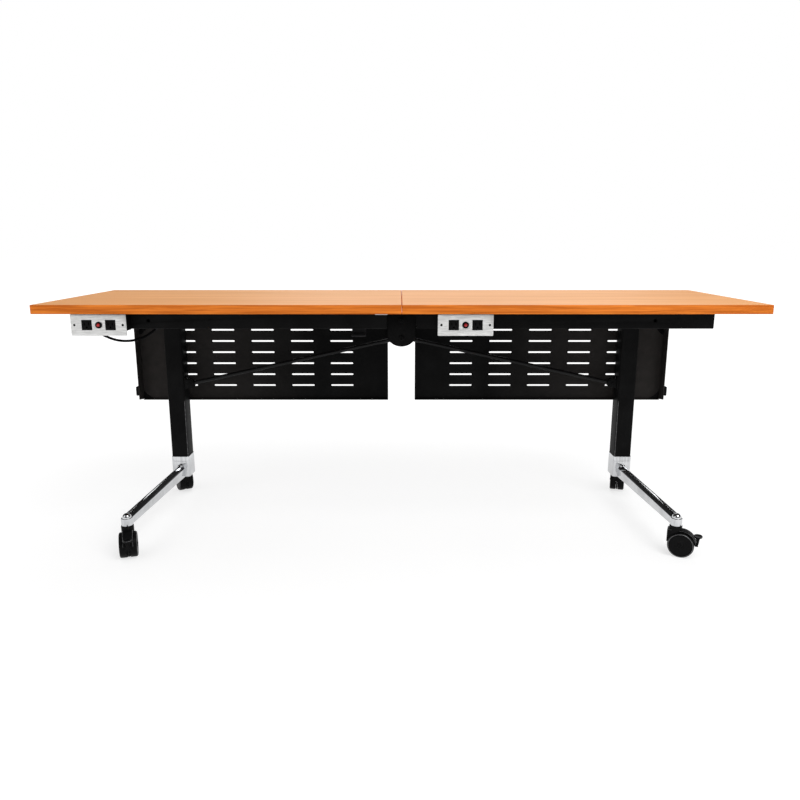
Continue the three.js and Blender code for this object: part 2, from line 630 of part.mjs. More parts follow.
// Caster parts lie about the stem's axis, trailing towards -Y, with the axle along X.
function casterBody(braked) {
  const half = HOOD_WIDTH / 2;
  const hoodOutline = [
    ...arc(-CASTER_TRAIL, WHEEL_RADIUS, HOOD_RIM, HOOD_FROM_DEG, HOOD_TO_DEG, HOOD_STEPS),
    ...arc(-CASTER_TRAIL, WHEEL_RADIUS, HOOD_RADIUS, HOOD_TO_DEG, HOOD_FROM_DEG, HOOD_STEPS),
  ];
  const hood = pushX(hoodOutline, [-half, half]);
  const fanRadius = HOOD_RADIUS + HOOD_THICKNESS / 2;
  const webHalf = [-WEB_THICKNESS / 2, WEB_THICKNESS / 2];
  const fan = pushX(
    [
      point(-CASTER_TRAIL, WHEEL_RADIUS),
      ...arc(-CASTER_TRAIL, WHEEL_RADIUS, fanRadius, HOOD_FROM_DEG, HOOD_TO_DEG, HOOD_STEPS),
    ],
    webHalf,
  );
  const disc = rodX(WEB_RADIUS, webHalf, -CASTER_TRAIL, WHEEL_RADIUS, LARGE_ROUND_SIDES);
  const axleHalf = WHEEL_OUTER + AXLE_OVERHANG;
  const axle = rodX(AXLE_RADIUS, [-axleHalf, axleHalf], -CASTER_TRAIL, WHEEL_RADIUS);
  const neckTop = CASTER_HEIGHT - SEAT_GAP;
  const roomWidth = [-NECK_RADIUS, NECK_RADIUS];
  const wheelRoom = rodX(HOOD_RADIUS, roomWidth, -CASTER_TRAIL, WHEEL_RADIUS, LARGE_ROUND_SIDES);
  const neckRange = [WHEEL_RADIUS + NECK_RISE, neckTop];
  const neck = cut(rodZ(NECK_RADIUS, neckRange, 0, 0, LARGE_ROUND_SIDES), wheelRoom);
  const stem = rodZ(STEM_RADIUS, [neckTop - OVERCUT, CASTER_HEIGHT + STEM_LENGTH], 0, 0);
  const body = join(hood, fan, disc, axle, neck, stem);
  if (!braked) return body;
  const lugHalf = PEDAL_BARREL_WIDTH / 2;
  const lug = block(
    [-lugHalf, lugHalf],
    [PEDAL_Y - LUG_FRONT, PEDAL_Y + LUG_BACK],
    [PEDAL_Z - LUG_DROP - LUG_HEIGHT, PEDAL_Z - LUG_DROP],
  );
  const groove = rodX(PEDAL_BARREL + RUNNING_GAP, past([-lugHalf, lugHalf]), PEDAL_Y, PEDAL_Z);
  return cut(join(body, cut(lug, wheelRoom)), groove);
}

// A barrel in the caster's groove, with an upright leg that carries the round foot pad.
function brakePedal() {
  const half = PEDAL_BARREL_WIDTH / 2;
  const padBottom = PEDAL_Z + PEDAL_PAD_RISE;
  const padRange = [padBottom, padBottom + PEDAL_PAD_THICKNESS];
  const barrel = rodX(PEDAL_BARREL, [-half, half], PEDAL_Y, PEDAL_Z);
  const leg = block(
    [-PEDAL_LEG_WIDTH / 2, PEDAL_LEG_WIDTH / 2],
    [PEDAL_Y - PEDAL_LEG_THICKNESS / 2, PEDAL_Y + PEDAL_LEG_THICKNESS / 2],
    [PEDAL_Z, padBottom + OVERCUT],
  );
  return join(barrel, leg, rodZ(PEDAL_PAD_RADIUS, padRange, 0, PEDAL_Y, LARGE_ROUND_SIDES));
}

function wheel(hand) {
  const bore = AXLE_RADIUS + RUNNING_GAP;
  const rim = WHEEL_RADIUS - WHEEL_EDGE;
  const profile = [
    [bore, WHEEL_INNER],
    [rim, WHEEL_INNER],
    [WHEEL_RADIUS, WHEEL_INNER + WHEEL_EDGE],
    [WHEEL_RADIUS, WHEEL_OUTER - WHEEL_EDGE],
    [rim, WHEEL_OUTER],
    [bore, WHEEL_OUTER],
    [bore, WHEEL_INNER],
  ];
  const shape = turned(profile, LARGE_ROUND_SIDES);
  return shape.rotate([0, hand * 90, 0]).translate([0, -CASTER_TRAIL, WHEEL_RADIUS]);
}

function caster(place, stemX, stemY) {
  const group = new THREE.Group();
  group.position.set(stemX, stemY, 0);
  group.rotation.z = THREE.MathUtils.degToRad(SWIVEL_DEG[place]);
  const braked = place.startsWith("front");
  group.add(mesh("caster_" + place, casterBody(braked), BLACK_PLASTIC));
  group.add(mesh("wheel_" + place + "_a", wheel(-1), TYRE));
  group.add(mesh("wheel_" + place + "_b", wheel(1), TYRE));
  if (braked) group.add(mesh("brake_pedal_" + place, brakePedal(), BLACK_PLASTIC));
  return group;
}

// Rear beams meet between the hub's plates. Each strut runs from the lower hub bolt to a column's bracket.
const strutPlane = (side) => (BEAM_FRONT_Y + BEAM_BACK_Y) / 2 + (side * STRUT_SPACING) / 2;

function rearBeam(side) {
  const reach = span(side * BEAM_END_X, side * (COLUMN_INNER_X - SEAT_GAP));
  return tubeX(reach, [BEAM_FRONT_Y, BEAM_BACK_Y], [BEAM_TOP - BEAM_HEIGHT, BEAM_TOP], BEAM_WALL);
}

function hubPlate(thickness) {
  const half = HUB_WIDTH / 2;
  const shoulder = THREE.MathUtils.radToDeg(Math.acos(half / HUB_RADIUS));
  const outline = [
    point(half, HUB_TOP),
    point(-half, HUB_TOP),
    ...arc(0, HUB_Z, HUB_RADIUS, 180 + shoulder, 360 - shoulder, HUB_STEPS),
  ];
  const holes = [HUB_BOLT_UPPER_Z, HUB_BOLT_LOWER_Z].map((z) =>
    rodY(HUB_BOLT_RADIUS + RUNNING_GAP, past(thickness), 0, z),
  );
  return cut(pushY(outline, thickness), ...holes);
}

function hubBolt(z) {
  const front = HUB_FRONT_Y - SEAT_GAP;
  const back = HUB_BACK_Y + SEAT_GAP;
  const shank = rodY(HUB_BOLT_RADIUS, [front - OVERCUT, back + OVERCUT], 0, z);
  const head = rodY(HUB_BOLT_HEAD, [front - HUB_BOLT_HEAD_LENGTH, front], 0, z);
  const nut = rodY(HUB_BOLT_HEAD, [back, back + HUB_BOLT_HEAD_LENGTH], 0, z, HEX_SIDES);
  return join(shank, head, nut);
}

function strut(side) {
  const plane = strutPlane(side);
  const eye = [plane - STRUT_RADIUS, plane + STRUT_RADIUS];
  const rise = HUB_BOLT_LOWER_Z - STRUT_FOOT_Z;
  const length = Math.hypot(STRUT_FOOT_X, rise);
  const slope = THREE.MathUtils.radToDeg(Math.atan2(rise, STRUT_FOOT_X));
  const bar = rodX(STRUT_RADIUS, [0, length], 0, 0)
    .rotate([0, side > 0 ? slope : 180 - slope, 0])
    .translate([0, plane, HUB_BOLT_LOWER_Z]);
  const ends = [
    rodY(STRUT_EYE_RADIUS, eye, 0, HUB_BOLT_LOWER_Z),
    rodY(STRUT_EYE_RADIUS, eye, side * STRUT_FOOT_X, STRUT_FOOT_Z),
  ];
  const through = past(eye);
  return cut(
    join(bar, ...ends),
    rodY(HUB_BOLT_RADIUS + RUNNING_GAP, through, 0, HUB_BOLT_LOWER_Z),
    rodY(BRACKET_PIN_RADIUS + RUNNING_GAP, through, side * STRUT_FOOT_X, STRUT_FOOT_Z),
  );
}

function strutBracket(side) {
  const plane = strutPlane(side);
  const root = side * (COLUMN_INNER_X - SEAT_GAP);
  const tip = side * STRUT_FOOT_X;
  const half = BRACKET_HEIGHT / 2;
  const inner = STRUT_RADIUS + SEAT_GAP;
  const outer = inner + BRACKET_EAR;
  const tall = [STRUT_FOOT_Z - half, STRUT_FOOT_Z + half];
  const base = block(
    span(root, root - side * BRACKET_BASE),
    [COLUMN_FRONT_Y + BRACKET_BASE_INSET, COLUMN_BACK_Y - BRACKET_BASE_INSET],
    tall,
  );
  const earHeight = [STRUT_FOOT_Z - BRACKET_EAR_RADIUS, STRUT_FOOT_Z + BRACKET_EAR_RADIUS];
  const ears = [-1, 1].flatMap((hand) => {
    const thickness = span(plane + hand * inner, plane + hand * outer);
    return [
      block(span(root - side * (BRACKET_BASE / 2), tip), thickness, earHeight),
      rodY(BRACKET_EAR_RADIUS, thickness, tip, STRUT_FOOT_Z),
    ];
  });
  const pinHalf = outer + BRACKET_PIN_OVERHANG;
  const pin = rodY(BRACKET_PIN_RADIUS, [plane - pinHalf, plane + pinHalf], tip, STRUT_FOOT_Z);
  return join(base, ...ears, pin);
}

function panel(side) {
  const front = PANEL_BACK_Y - PANEL_SHEET;
  const tall = [PANEL_BOTTOM, PANEL_TOP];
  const width = span(side * PANEL_INNER_X, side * PANEL_OUTER_X);
  const sheet = block(width, [front, PANEL_BACK_Y], tall);
  const flangeOutline = [
    point(PANEL_BACK_Y, PANEL_BOTTOM),
    point(PANEL_BACK_Y, PANEL_TOP),
    point(front - PANEL_FLANGE, PANEL_TOP),
    point(front - PANEL_FLANGE, PANEL_BOTTOM + FLANGE_CUT),
  ];
  const flange = pushX(flangeOutline, span(side * PANEL_OUTER_X, side * (PANEL_OUTER_X - PANEL_SHEET)));
  const lip = block(width, [front - PANEL_LIP, PANEL_BACK_Y], [PANEL_BOTTOM, PANEL_BOTTOM + PANEL_SHEET]);
  const slots = [];
  const straight = (SLOT_LENGTH - SLOT_WIDTH) / 2;
  const wide = PANEL_OUTER_X - PANEL_INNER_X - SLOT_INNER_MARGIN - SLOT_OUTER_MARGIN;
  const pitchX = wide / (SLOT_COLUMNS - 1);
  const pitchZ = (PANEL_HEIGHT - SLOT_BOTTOM_MARGIN - SLOT_TOP_MARGIN) / (SLOT_ROWS - 1);
  for (let column = 0; column < SLOT_COLUMNS; column++) {
    for (let row = 0; row < SLOT_ROWS; row++) {
      const x = side * (PANEL_INNER_X + SLOT_INNER_MARGIN + column * pitchX);
      const z = PANEL_BOTTOM + SLOT_BOTTOM_MARGIN + row * pitchZ;
      const outline = [
        ...arc(x + straight, z, SLOT_WIDTH / 2, -90, 90, SLOT_END_STEPS),
        ...arc(x - straight, z, SLOT_WIDTH / 2, 90, 270, SLOT_END_STEPS),
      ];
      slots.push(pushY(outline, [front - OVERCUT, PANEL_BACK_Y + OVERCUT]));
    }
  }
  return cut(join(sheet, flange, lip), ...slots);
}

function panelSpacer(side) {
  const middle = side * COLUMN_X;
  return block(
    [middle - SPACER_WIDTH / 2, middle + SPACER_WIDTH / 2],
    [COLUMN_BACK_Y + SEAT_GAP, PANEL_BACK_Y - PANEL_SHEET - SEAT_GAP],
    [PANEL_BOTTOM + SPACER_BOTTOM_INSET, PANEL_TOP - SPACER_TOP_INSET],
  );
}

function panelBumper(side) {
  const [proud, deep, tall] = BUMPER_SIZE;
  const root = side * (PANEL_OUTER_X + SEAT_GAP);
  const middle = PANEL_BACK_Y - BUMPER_FORWARD;
  return block(
    span(root, root + side * proud),
    [middle - deep / 2, middle + deep / 2],
    [PANEL_BOTTOM + BUMPER_RISE, PANEL_BOTTOM + BUMPER_RISE + tall],
  );
}

// Power module parts lie about the module's own centre line.
function powerPlate() {
  const through = past([PLATE_FRONT_Y, PLATE_BACK_Y]);
  const sheet = block(
    [-PLATE_WIDTH / 2, PLATE_WIDTH / 2],
    [PLATE_FRONT_Y, PLATE_BACK_Y],
    [PLATE_BOTTOM, PLATE_BOTTOM + PLATE_HEIGHT],
  );
  const windows = [-1, 1].map((hand) => {
    const half = OUTLET_WIDTH / 2 + SEAT_GAP;
    const rise = OUTLET_HEIGHT / 2 + SEAT_GAP;
    const x = hand * OUTLET_OFFSET;
    return block([x - half, x + half], through, [PLATE_MIDDLE - rise, PLATE_MIDDLE + rise]);
  });
  return cut(sheet, ...windows, rodY(COLLAR_RADIUS + SEAT_GAP, through, 0, PLATE_MIDDLE));
}

function powerHousing(moduleX, hasLead) {
  const half = PLATE_WIDTH / 2 - HOUSING_INSET;
  const bottom = PLATE_BOTTOM + HOUSING_RISE;
  const depth = [HOUSING_FRONT_Y, HOUSING_FRONT_Y + HOUSING_DEPTH];
  const shell = block([-half, half], depth, [bottom, SEAT_Z]);
  const inside = half - HOUSING_WALL;
  const pocket = block(
    [-inside, inside],
    [depth[0] - OVERCUT, depth[1] - HOUSING_WALL],
    [bottom + HOUSING_WALL, SEAT_Z - HOUSING_ROOF],
  );
  const housing = cut(shell, pocket);
  if (!hasLead) return housing;
  return cut(housing, leadSweep(LEAD_RADIUS + LEAD_HOLE_GAP).translate([-moduleX, 0, 0]));
}

// Two sockets on one moulding, tied behind the plate below the collar.
function outletInsert() {
  const bottom = PLATE_MIDDLE - OUTLET_HEIGHT / 2;
  const front = PLATE_FRONT_Y - OUTLET_PROUD;
  const sockets = [-1, 1].map((hand) => {
    const x = hand * OUTLET_OFFSET;
    const body = block(
      [x - OUTLET_WIDTH / 2, x + OUTLET_WIDTH / 2],
      [front, front + OUTLET_DEPTH],
      [bottom, bottom + OUTLET_HEIGHT],
    );
    const deep = [front - OVERCUT, front + OUTLET_HOLE_DEPTH];
    const blades = [-1, 1].map((blade) =>
      block(
        [x + blade * BLADE_OFFSET - BLADE_WIDTH / 2, x + blade * BLADE_OFFSET + BLADE_WIDTH / 2],
        deep,
        [PLATE_MIDDLE + BLADE_BOTTOM, PLATE_MIDDLE + BLADE_BOTTOM + BLADE_HEIGHT],
      ),
    );
    return cut(body, ...blades, rodY(EARTH_RADIUS, deep, x, PLATE_MIDDLE - EARTH_DROP));
  });
  const reach = OUTLET_OFFSET + OUTLET_WIDTH / 2;
  const bar = block(
    [-reach, reach],
    [HOUSING_FRONT_Y, HOUSING_FRONT_Y + OUTLET_BAR],
    [bottom, bottom + OUTLET_BAR],
  );
  return join(...sockets, bar);
}

function breakerCollar() {
  const front = PLATE_FRONT_Y - COLLAR_PROUD;
  const deep = [front, front + COLLAR_DEPTH];
  const bore = rodY(BUTTON_RADIUS + BUTTON_GAP, [deep[0] - OVERCUT, deep[1] + OVERCUT], 0, PLATE_MIDDLE);
  return cut(rodY(COLLAR_RADIUS, deep, 0, PLATE_MIDDLE), bore);
}

function resetButton() {
  const front = PLATE_FRONT_Y - BUTTON_PROUD;
  return rodY(BUTTON_RADIUS, [front, front + COLLAR_DEPTH], 0, PLATE_MIDDLE);
}

function powerModule(hand) {
  const group = new THREE.Group();
  group.position.x = MODULE_X[hand];
  group.add(mesh("power_housing_" + hand, powerHousing(MODULE_X[hand], hand === "left"), BLACK_PLASTIC));
  group.add(mesh("power_plate_" + hand, powerPlate(), BRUSHED));
  group.add(mesh("outlet_insert_" + hand, outletInsert(), BLACK_PLASTIC));
  group.add(mesh("breaker_collar_" + hand, breakerCollar(), BLACK_PLASTIC));
  group.add(mesh("reset_button_" + hand, resetButton(), RED_PLASTIC));
  return group;
}

function seamPlate() {
  const width = [SEAM_PLATE_X - SEAM_PLATE_WIDTH, SEAM_PLATE_X];
  const leaf = block(
    width,
    [SEAM_PLATE_FRONT_Y, SEAM_PLATE_FRONT_Y + SEAM_PLATE_DEPTH],
    [SEAT_Z - SEAM_PLATE_THICKNESS, SEAT_Z],
  );
  const lip = block(
    width,
    [SEAM_PLATE_FRONT_Y, SEAM_PLATE_FRONT_Y + SEAM_PLATE_THICKNESS],
    [SEAT_Z - SEAM_PLATE_LIP, SEAT_Z],
  );
  return join(leaf, lip);
}

const table = new THREE.Group();
for (const [hand, side] of [
  ["left", -1],
  ["right", 1],
]) {
  table.add(mesh("top_" + hand, topHalf(side), WOOD));
  table.add(mesh("rail_" + hand, frontRail(side), BLACK_PAINT));
  table.add(mesh("release_lever_" + hand, releaseLever(side), BLACK_PAINT));
  table.add(mesh("flip_bracket_" + hand, flipBracket(side), BLACK_PAINT));
  table.add(mesh("pivot_pin_" + hand, pivotPin(side), STEEL));
  table.add(mesh("column_head_" + hand, columnHead(side), BLACK_PAINT));
  table.add(mesh("column_" + hand, column(side), BLACK_PAINT));
  table.add(mesh("foot_" + hand, foot(side), CHROME));
  table.add(mesh("rear_beam_" + hand, rearBeam(side), BLACK_PAINT));
  table.add(mesh("strut_" + hand, strut(side), BLACK_PAINT));
  table.add(mesh("strut_bracket_" + hand, strutBracket(side), BLACK_PAINT));
  table.add(mesh("panel_" + hand, panel(side), BLACK_PAINT));
  table.add(mesh("panel_spacer_" + hand, panelSpacer(side), BLACK_PAINT));
  table.add(mesh("panel_bumper_" + hand, panelBumper(side), BLACK_PLASTIC));
  table.add(powerModule(hand));
  table.add(caster("front_" + hand, side * FRONT_STEM_X, FRONT_STEM_Y));
  table.add(caster("rear_" + hand, side * REAR_STEM_X, REAR_STEM_Y));
}
table.add(mesh("hub_front_plate", hubPlate([HUB_FRONT_Y, HUB_FRONT_Y + HUB_PLATE]), BLACK_PAINT));
table.add(mesh("hub_rear_plate", hubPlate([HUB_BACK_Y - HUB_PLATE, HUB_BACK_Y]), BLACK_PAINT));
table.add(mesh("hub_bolt_upper", hubBolt(HUB_BOLT_UPPER_Z), STEEL));
table.add(mesh("hub_bolt_lower", hubBolt(HUB_BOLT_LOWER_Z), STEEL));
table.add(mesh("module_lead", leadSweep(LEAD_RADIUS), CABLE));
table.add(mesh("seam_plate", seamPlate(), STEEL));

export default table;
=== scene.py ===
"""Looks of the flip top training table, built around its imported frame. Metres, +Z up, -Y the user's side."""
import json
import math

import bmesh
import bpy
from bpy.props import FloatProperty, FloatVectorProperty, IntProperty, PointerProperty
from mathutils import Matrix, Vector


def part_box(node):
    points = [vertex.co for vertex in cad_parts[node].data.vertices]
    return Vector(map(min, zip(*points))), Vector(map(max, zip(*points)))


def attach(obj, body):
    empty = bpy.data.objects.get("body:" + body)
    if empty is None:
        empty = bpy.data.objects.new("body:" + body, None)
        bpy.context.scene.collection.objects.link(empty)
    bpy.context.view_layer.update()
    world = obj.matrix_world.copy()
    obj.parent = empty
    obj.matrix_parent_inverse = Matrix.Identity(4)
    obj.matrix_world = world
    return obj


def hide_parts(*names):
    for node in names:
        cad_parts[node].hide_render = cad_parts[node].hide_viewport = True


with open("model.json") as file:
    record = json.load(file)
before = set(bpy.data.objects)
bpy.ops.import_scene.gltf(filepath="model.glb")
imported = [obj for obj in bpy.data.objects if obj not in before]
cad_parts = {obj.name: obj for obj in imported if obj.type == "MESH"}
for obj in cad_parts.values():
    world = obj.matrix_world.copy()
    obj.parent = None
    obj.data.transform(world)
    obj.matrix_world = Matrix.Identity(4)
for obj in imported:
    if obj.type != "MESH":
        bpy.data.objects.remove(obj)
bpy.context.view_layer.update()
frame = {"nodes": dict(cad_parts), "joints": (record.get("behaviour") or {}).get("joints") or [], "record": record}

bl_info = {
    "name": "Training Table Looks",
    "version": (1, 0, 0),
    "blender": (4, 5, 0),
    "location": "View3D > Sidebar > Table",
    "description": "Finishes and detailed pieces for a flip top training table",
    "category": "Object",
}

SIDES = (("left", -1), ("right", 1))
PLACES = ("front_left", "front_right", "rear_left", "rear_right")
JOINTS = {joint["name"]: joint for joint in frame["joints"]}
BODY_OF = {n: body for body, ns in frame["record"]["behaviour"]["bodies"].items() for n in ns}
SLOT_OF = {row["node"]: row["material_slot"] for row in frame["record"]["subparts"]}

LEAD_ROUTE = (
    (-0.8537, -0.2437, 0.672),
    (-0.8509, -0.2429, 0.6626),
    (-0.8457, -0.2414, 0.6545),
    (-0.8384, -0.2392, 0.6483),
    (-0.8303, -0.2368, 0.6432),
    (-0.8217, -0.2343, 0.6391),
    (-0.8128, -0.2317, 0.6358),
    (-0.8037, -0.229, 0.6334),
    (-0.7943, -0.2263, 0.6319),
    (-0.7849, -0.2235, 0.6313),
    (-0.7755, -0.2207, 0.6315),
    (-0.7661, -0.218, 0.6326),
    (-0.7568, -0.2152, 0.6345),
    (-0.7477, -0.2126, 0.6372),
    (-0.7389, -0.21, 0.6408),
    (-0.7305, -0.2075, 0.6452),
    (-0.7225, -0.2052, 0.6505),
    (-0.715, -0.2029, 0.6564),
    (-0.7079, -0.2009, 0.663),
    (-0.7019, -0.1991, 0.6705),
)


def length_size(name, description, default):
    return FloatProperty(name=name, description=description, default=default, min=0, unit="LENGTH", precision=4)


def colour(name, description, default):
    return FloatVectorProperty(
        name=name, description=description, default=default, subtype="COLOR", size=4, min=0, max=1
    )


class TableSizes(bpy.types.PropertyGroup):
    """Fine sizes that the frame doesn't hold."""

    band: length_size("Edge band", "Thickness of the band round each half top", 0.002)
    top_corner: length_size("Top corner", "Radius of each half top's corners", 0.003)
    top_edge: length_size("Top edge", "Rounding of each half top's upper edge", 0.0012)
    steel_edge: length_size("Steel edge", "Rounding of cut steel", 0.0008)
    tube_corner: length_size("Tube corner", "Corner radius of the rails and beams", 0.003)
    plastic_edge: length_size("Plastic edge", "Rounding of moulded plastic", 0.0012)
    seat_gap: length_size("Seat gap", "Gap between pieces that touch", 0.0003)
    column_corner: length_size("Column corner", "Corner radius of the columns", 0.007)
    column_wall: length_size("Column wall", "Wall of the columns", 0.0025)
    # Below this height the columns' inner front corners carry a painted highlight line.
    column_wear: length_size("Column wear", "Height up to which the columns' inner corners are rubbed", 0.36)
    socket_wall: length_size("Socket wall", "Wall of the feet's sockets", 0.002)
    socket_bottom: length_size("Socket bottom", "Height of the sockets' lower edge", 0.083)
    socket_top: length_size("Socket top", "Height of the sockets' upper edge", 0.158)
    stem_base: length_size("Stem base", "Height at which the casters' stems enter the feet", 0.092)
    boss_rise: length_size("Boss", "Height of the feet's round ends", 0.036)
    arm_width: length_size("Arm width", "Width of the feet's front arms", 0.03)
    arm_facet: length_size("Arm ridge", "Width of the ridge along each arm", 0.008)
    arm_chamfer: length_size("Arm shoulder", "Height of the slope from ridge to flank", 0.0145)
    arm_root_top: length_size("Arm root", "Height of the ridge at the socket", 0.128)
    arm_tip_top: length_size("Arm tip", "Height of the ridge at the front end", 0.1275)
    hood_inside: length_size("Hood radius", "Inner radius of the casters' hoods", 0.0387)
    hood_wall: length_size("Hood wall", "Wall of the casters' hoods", 0.0023)
    hood_width: length_size("Hood width", "Width of the casters' hoods", 0.03)
    neck_radius: length_size("Neck", "Radius of the casters' necks", 0.018)
    sheet: length_size("Sheet", "Thickness of the panels' sheet", 0.002)
    flange: length_size("Flange", "Depth of the panels' end flanges", 0.048)
    flange_cut: length_size("Flange cut", "Rise of the flanges' lower edges to the front", 0.008)
    # The corner plates that this sizes are painted shade, dark plates set where the panels' corners fall dark.
    gusset: length_size("Gusset", "Side of the plates in the panels' outer corners", 0.04)
    lip: length_size("Lip", "Depth of the panels' bottom lips", 0.015)
    bend: length_size("Bend", "Outer radius of the panels' folds", 0.004)
    slot_length: length_size("Slot length", "Length of each slot in the panels", 0.08)
    slot_width: length_size("Slot width", "Width of each slot in the panels", 0.0056)
    slot_inner: length_size("Inner margin", "From a panel's inner end to the first slots' middles", 0.165)
    slot_outer: length_size("Outer margin", "From a panel's outer end to the last slots' middles", 0.158)
    slot_foot: length_size("Lower margin", "From a panel's foot to the lowest slots' middles", 0.051)
    slot_head: length_size("Upper margin", "From a panel's top to the highest slots' middles", 0.024)
    slot_columns: IntProperty(name="Slot columns", description="Slots along each panel", default=5, min=1)
    slot_rows: IntProperty(name="Slot rows", description="Slots up each panel", default=6, min=1)
    hub_radius: length_size("Hub radius", "Radius of the hub plates' rounded foot", 0.056)
    screw_head: length_size("Screw head", "Diameter of the pan head screws", 0.007)
    plate_corner: length_size("Plate corner", "Corner radius of the modules' face plates", 0.0025)
    button: length_size("Button", "Diameter of the reset buttons", 0.009)
    lead: length_size("Lead", "Diameter of the lead from the left module", 0.007)
    relief: length_size("Strain relief", "Length of the tapered sleeve on the lead", 0.024)


class TableColours(bpy.types.PropertyGroup):
    """Base colours of the finishes."""

    # The tops' laminate colours are paler than the edge band's, which is the same laminate: that extra paleness is
    # painted sheen.
    laminate: colour("Laminate", "Wood laminate of the half tops", (0.92, 0.46, 0.18, 1))
    laminate_dark: colour("Laminate grain", "Darker grain of the laminate", (0.78, 0.35, 0.12, 1))
    band: colour("Edge band", "Band round the half tops", (0.8, 0.225, 0.03, 1))
    band_dark: colour("Band grain", "Darker grain of the band", (0.53, 0.125, 0.014, 1))
    backing: colour("Backing", "Sheet under the half tops", (0.03, 0.017, 0.011, 1))
    paint: colour("Black paint", "Powder coat of the frame", (0.0066, 0.0066, 0.0067, 1))
    # This colour is painted light: it is blended onto the panels' outer ends, which catch more light. It is not the
    # panels' own paint.
    panel: colour("Panel paint", "Powder coat of the modesty panels", (0.04, 0.0362, 0.0345, 1))
    plastic: colour("Black plastic", "Mouldings", (0.0035, 0.0035, 0.0037, 1))
    chrome: colour("Chrome", "Plated feet", (0.69, 0.7, 0.715, 1))
    # This pale colour is a painted highlight, laid on chosen edges of the columns, casters, wheels and pedals. The
    # lever's paler paint is drawn from it too.
    worn: colour("Worn edge", "Black that is rubbed smooth", (0.075, 0.075, 0.078, 1))
    zinc: colour("Zinc", "Plated small parts", (0.52, 0.53, 0.55, 1))
    aluminium: colour("Brushed plate", "Face plates of the modules", (0.9, 0.9, 0.89, 1))
    red: colour("Reset red", "Reset buttons", (0.6, 0.016, 0.02, 1))
    floor: colour("Floor", "Studio floor", (0.9, 0.9, 0.9, 1))


class StageSizes(bpy.types.PropertyGroup):
    """Camera and studio."""

    focal_pixels: FloatProperty(name="Focal length", description="Focal length in image pixels", default=720)
    frame_pixels: FloatProperty(name="Frame", description="Width of the square image in pixels", default=800)
    camera: FloatVectorProperty(
        name="Camera", description="Place of the camera", default=(-0.005, -2.2653, 0.9133), unit="LENGTH"
    )
    pitch: FloatProperty(
        name="Pitch", description="How far the camera looks down", default=math.radians(12.554), subtype="ANGLE"
    )
    yaw: FloatProperty(
        name="Yaw", description="How far the camera turns left", default=0.0, subtype="ANGLE"
    )


def sizes():
    return bpy.context.scene.table_sizes


def colours():
    return bpy.context.scene.table_colours


# Finishes

FINISHES = {}


def finish(name, maker):
    """The named material, made once."""
    if name not in FINISHES:
        FINISHES[name] = maker(name)
    return FINISHES[name]


def start(name, **sockets):
    material = bpy.data.materials.new(name)
    material.use_nodes = True
    tree = material.node_tree
    shader = tree.nodes["Principled BSDF"]
    for socket, value in sockets.items():
        shader.inputs[socket.replace("_", " ")].default_value = value
    return material, tree, shader


def add(tree, kind, inputs=(), **settings):
    """A new node with its settings, and with its inputs set or linked."""
    made = tree.nodes.new(kind)
    for key, value in settings.items():
        setattr(made, key, value)
    for key, value in dict(inputs).items():
        if isinstance(value, bpy.types.NodeSocket):
            tree.links.new(value, made.inputs[key])
        else:
            made.inputs[key].default_value = value
    return made


def noise(tree, stretch, scale, detail=4.0, roughness=0.55, distortion=0.0):
    """Noise on Object coordinates, drawn out along an axis by a small number in stretch."""
    place = add(tree, "ShaderNodeTexCoord").outputs["Object"]
    mapped = add(tree, "ShaderNodeMapping", {"Vector": place, "Scale": stretch}).outputs["Vector"]
    settings = {"Vector": mapped, "Scale": scale, "Detail": detail, "Roughness": roughness}
    return add(tree, "ShaderNodeTexNoise", {**settings, "Distortion": distortion}).outputs["Fac"]


def ramp(tree, factor, *stops):
    """A colour or grey ramp through stops of (place, value)."""
    made = add(tree, "ShaderNodeValToRGB", {"Fac": factor})
    elements = made.color_ramp.elements
    while len(elements) < len(stops):
        elements.new(0.5)
    for element, (place, value) in zip(elements, stops):
        element.position = place
        element.color = value if hasattr(value, "__len__") else (value, value, value, 1)
    return made.outputs["Color"]


def bump(tree, shader, height, strength, distance):
    settings = {"Height": height, "Strength": strength, "Distance": distance}
    made = add(tree, "ShaderNodeBump", settings)
    tree.links.new(made.outputs["Normal"], shader.inputs["Normal"])


def mixed(tree, factor, first, second, kind="MIX"):
    made = add(tree, "ShaderNodeMix", data_type="RGBA", blend_type=kind)
    for index, value in ((0, factor), (6, first), (7, second)):
        if isinstance(value, bpy.types.NodeSocket):
            tree.links.new(value, made.inputs[index])
        else:
            made.inputs[index].default_value = value
    return made.outputs[2]


def maths(tree, operation, first, second):
    return add(tree, "ShaderNodeMath", {0: first, 1: second}, operation=operation).outputs[0]


def wood(name, light, dark, along, roughness, sheen, figure_range):
    """Laminate with broad figure, fine pores and a satin coat. Along gives how slowly the grain changes each way."""
    material, tree, shader = start(name, Specular_IOR_Level=sheen)
    figure = noise(tree, along, 22.0, 5.0, 0.6, 0.6)
    pores = noise(tree, tuple(6 * value if value > 0.5 else value for value in along), 60.0, 3.0, 0.6)
    tone = ramp(tree, figure, (figure_range[0], tuple(dark)), (figure_range[1], tuple(light)))
    streak = ramp(tree, pores, (0.36, 0.78), (0.56, 1.0))
    tree.links.new(mixed(tree, 0.55, tone, streak, "MULTIPLY"), shader.inputs["Base Color"])
    gloss = ramp(tree, pores, (0.3, roughness + 0.1), (0.7, roughness))
    tree.links.new(gloss, shader.inputs["Roughness"])
    bump(tree, shader, pores, 0.12, 0.0003)
    return material


# The top's pale colours carry a painted sheen over the laminate's own tone.
def laminate(name):
    return wood(name, colours().laminate, colours().laminate_dark, (0.06, 1.0, 1.0), 0.45, 0.15, (0.32, 0.68))


def edge_band(name):
    return wood(name, colours().band, colours().band_dark, (0.22, 0.22, 7.0), 0.4, 0.06, (0.38, 0.62))


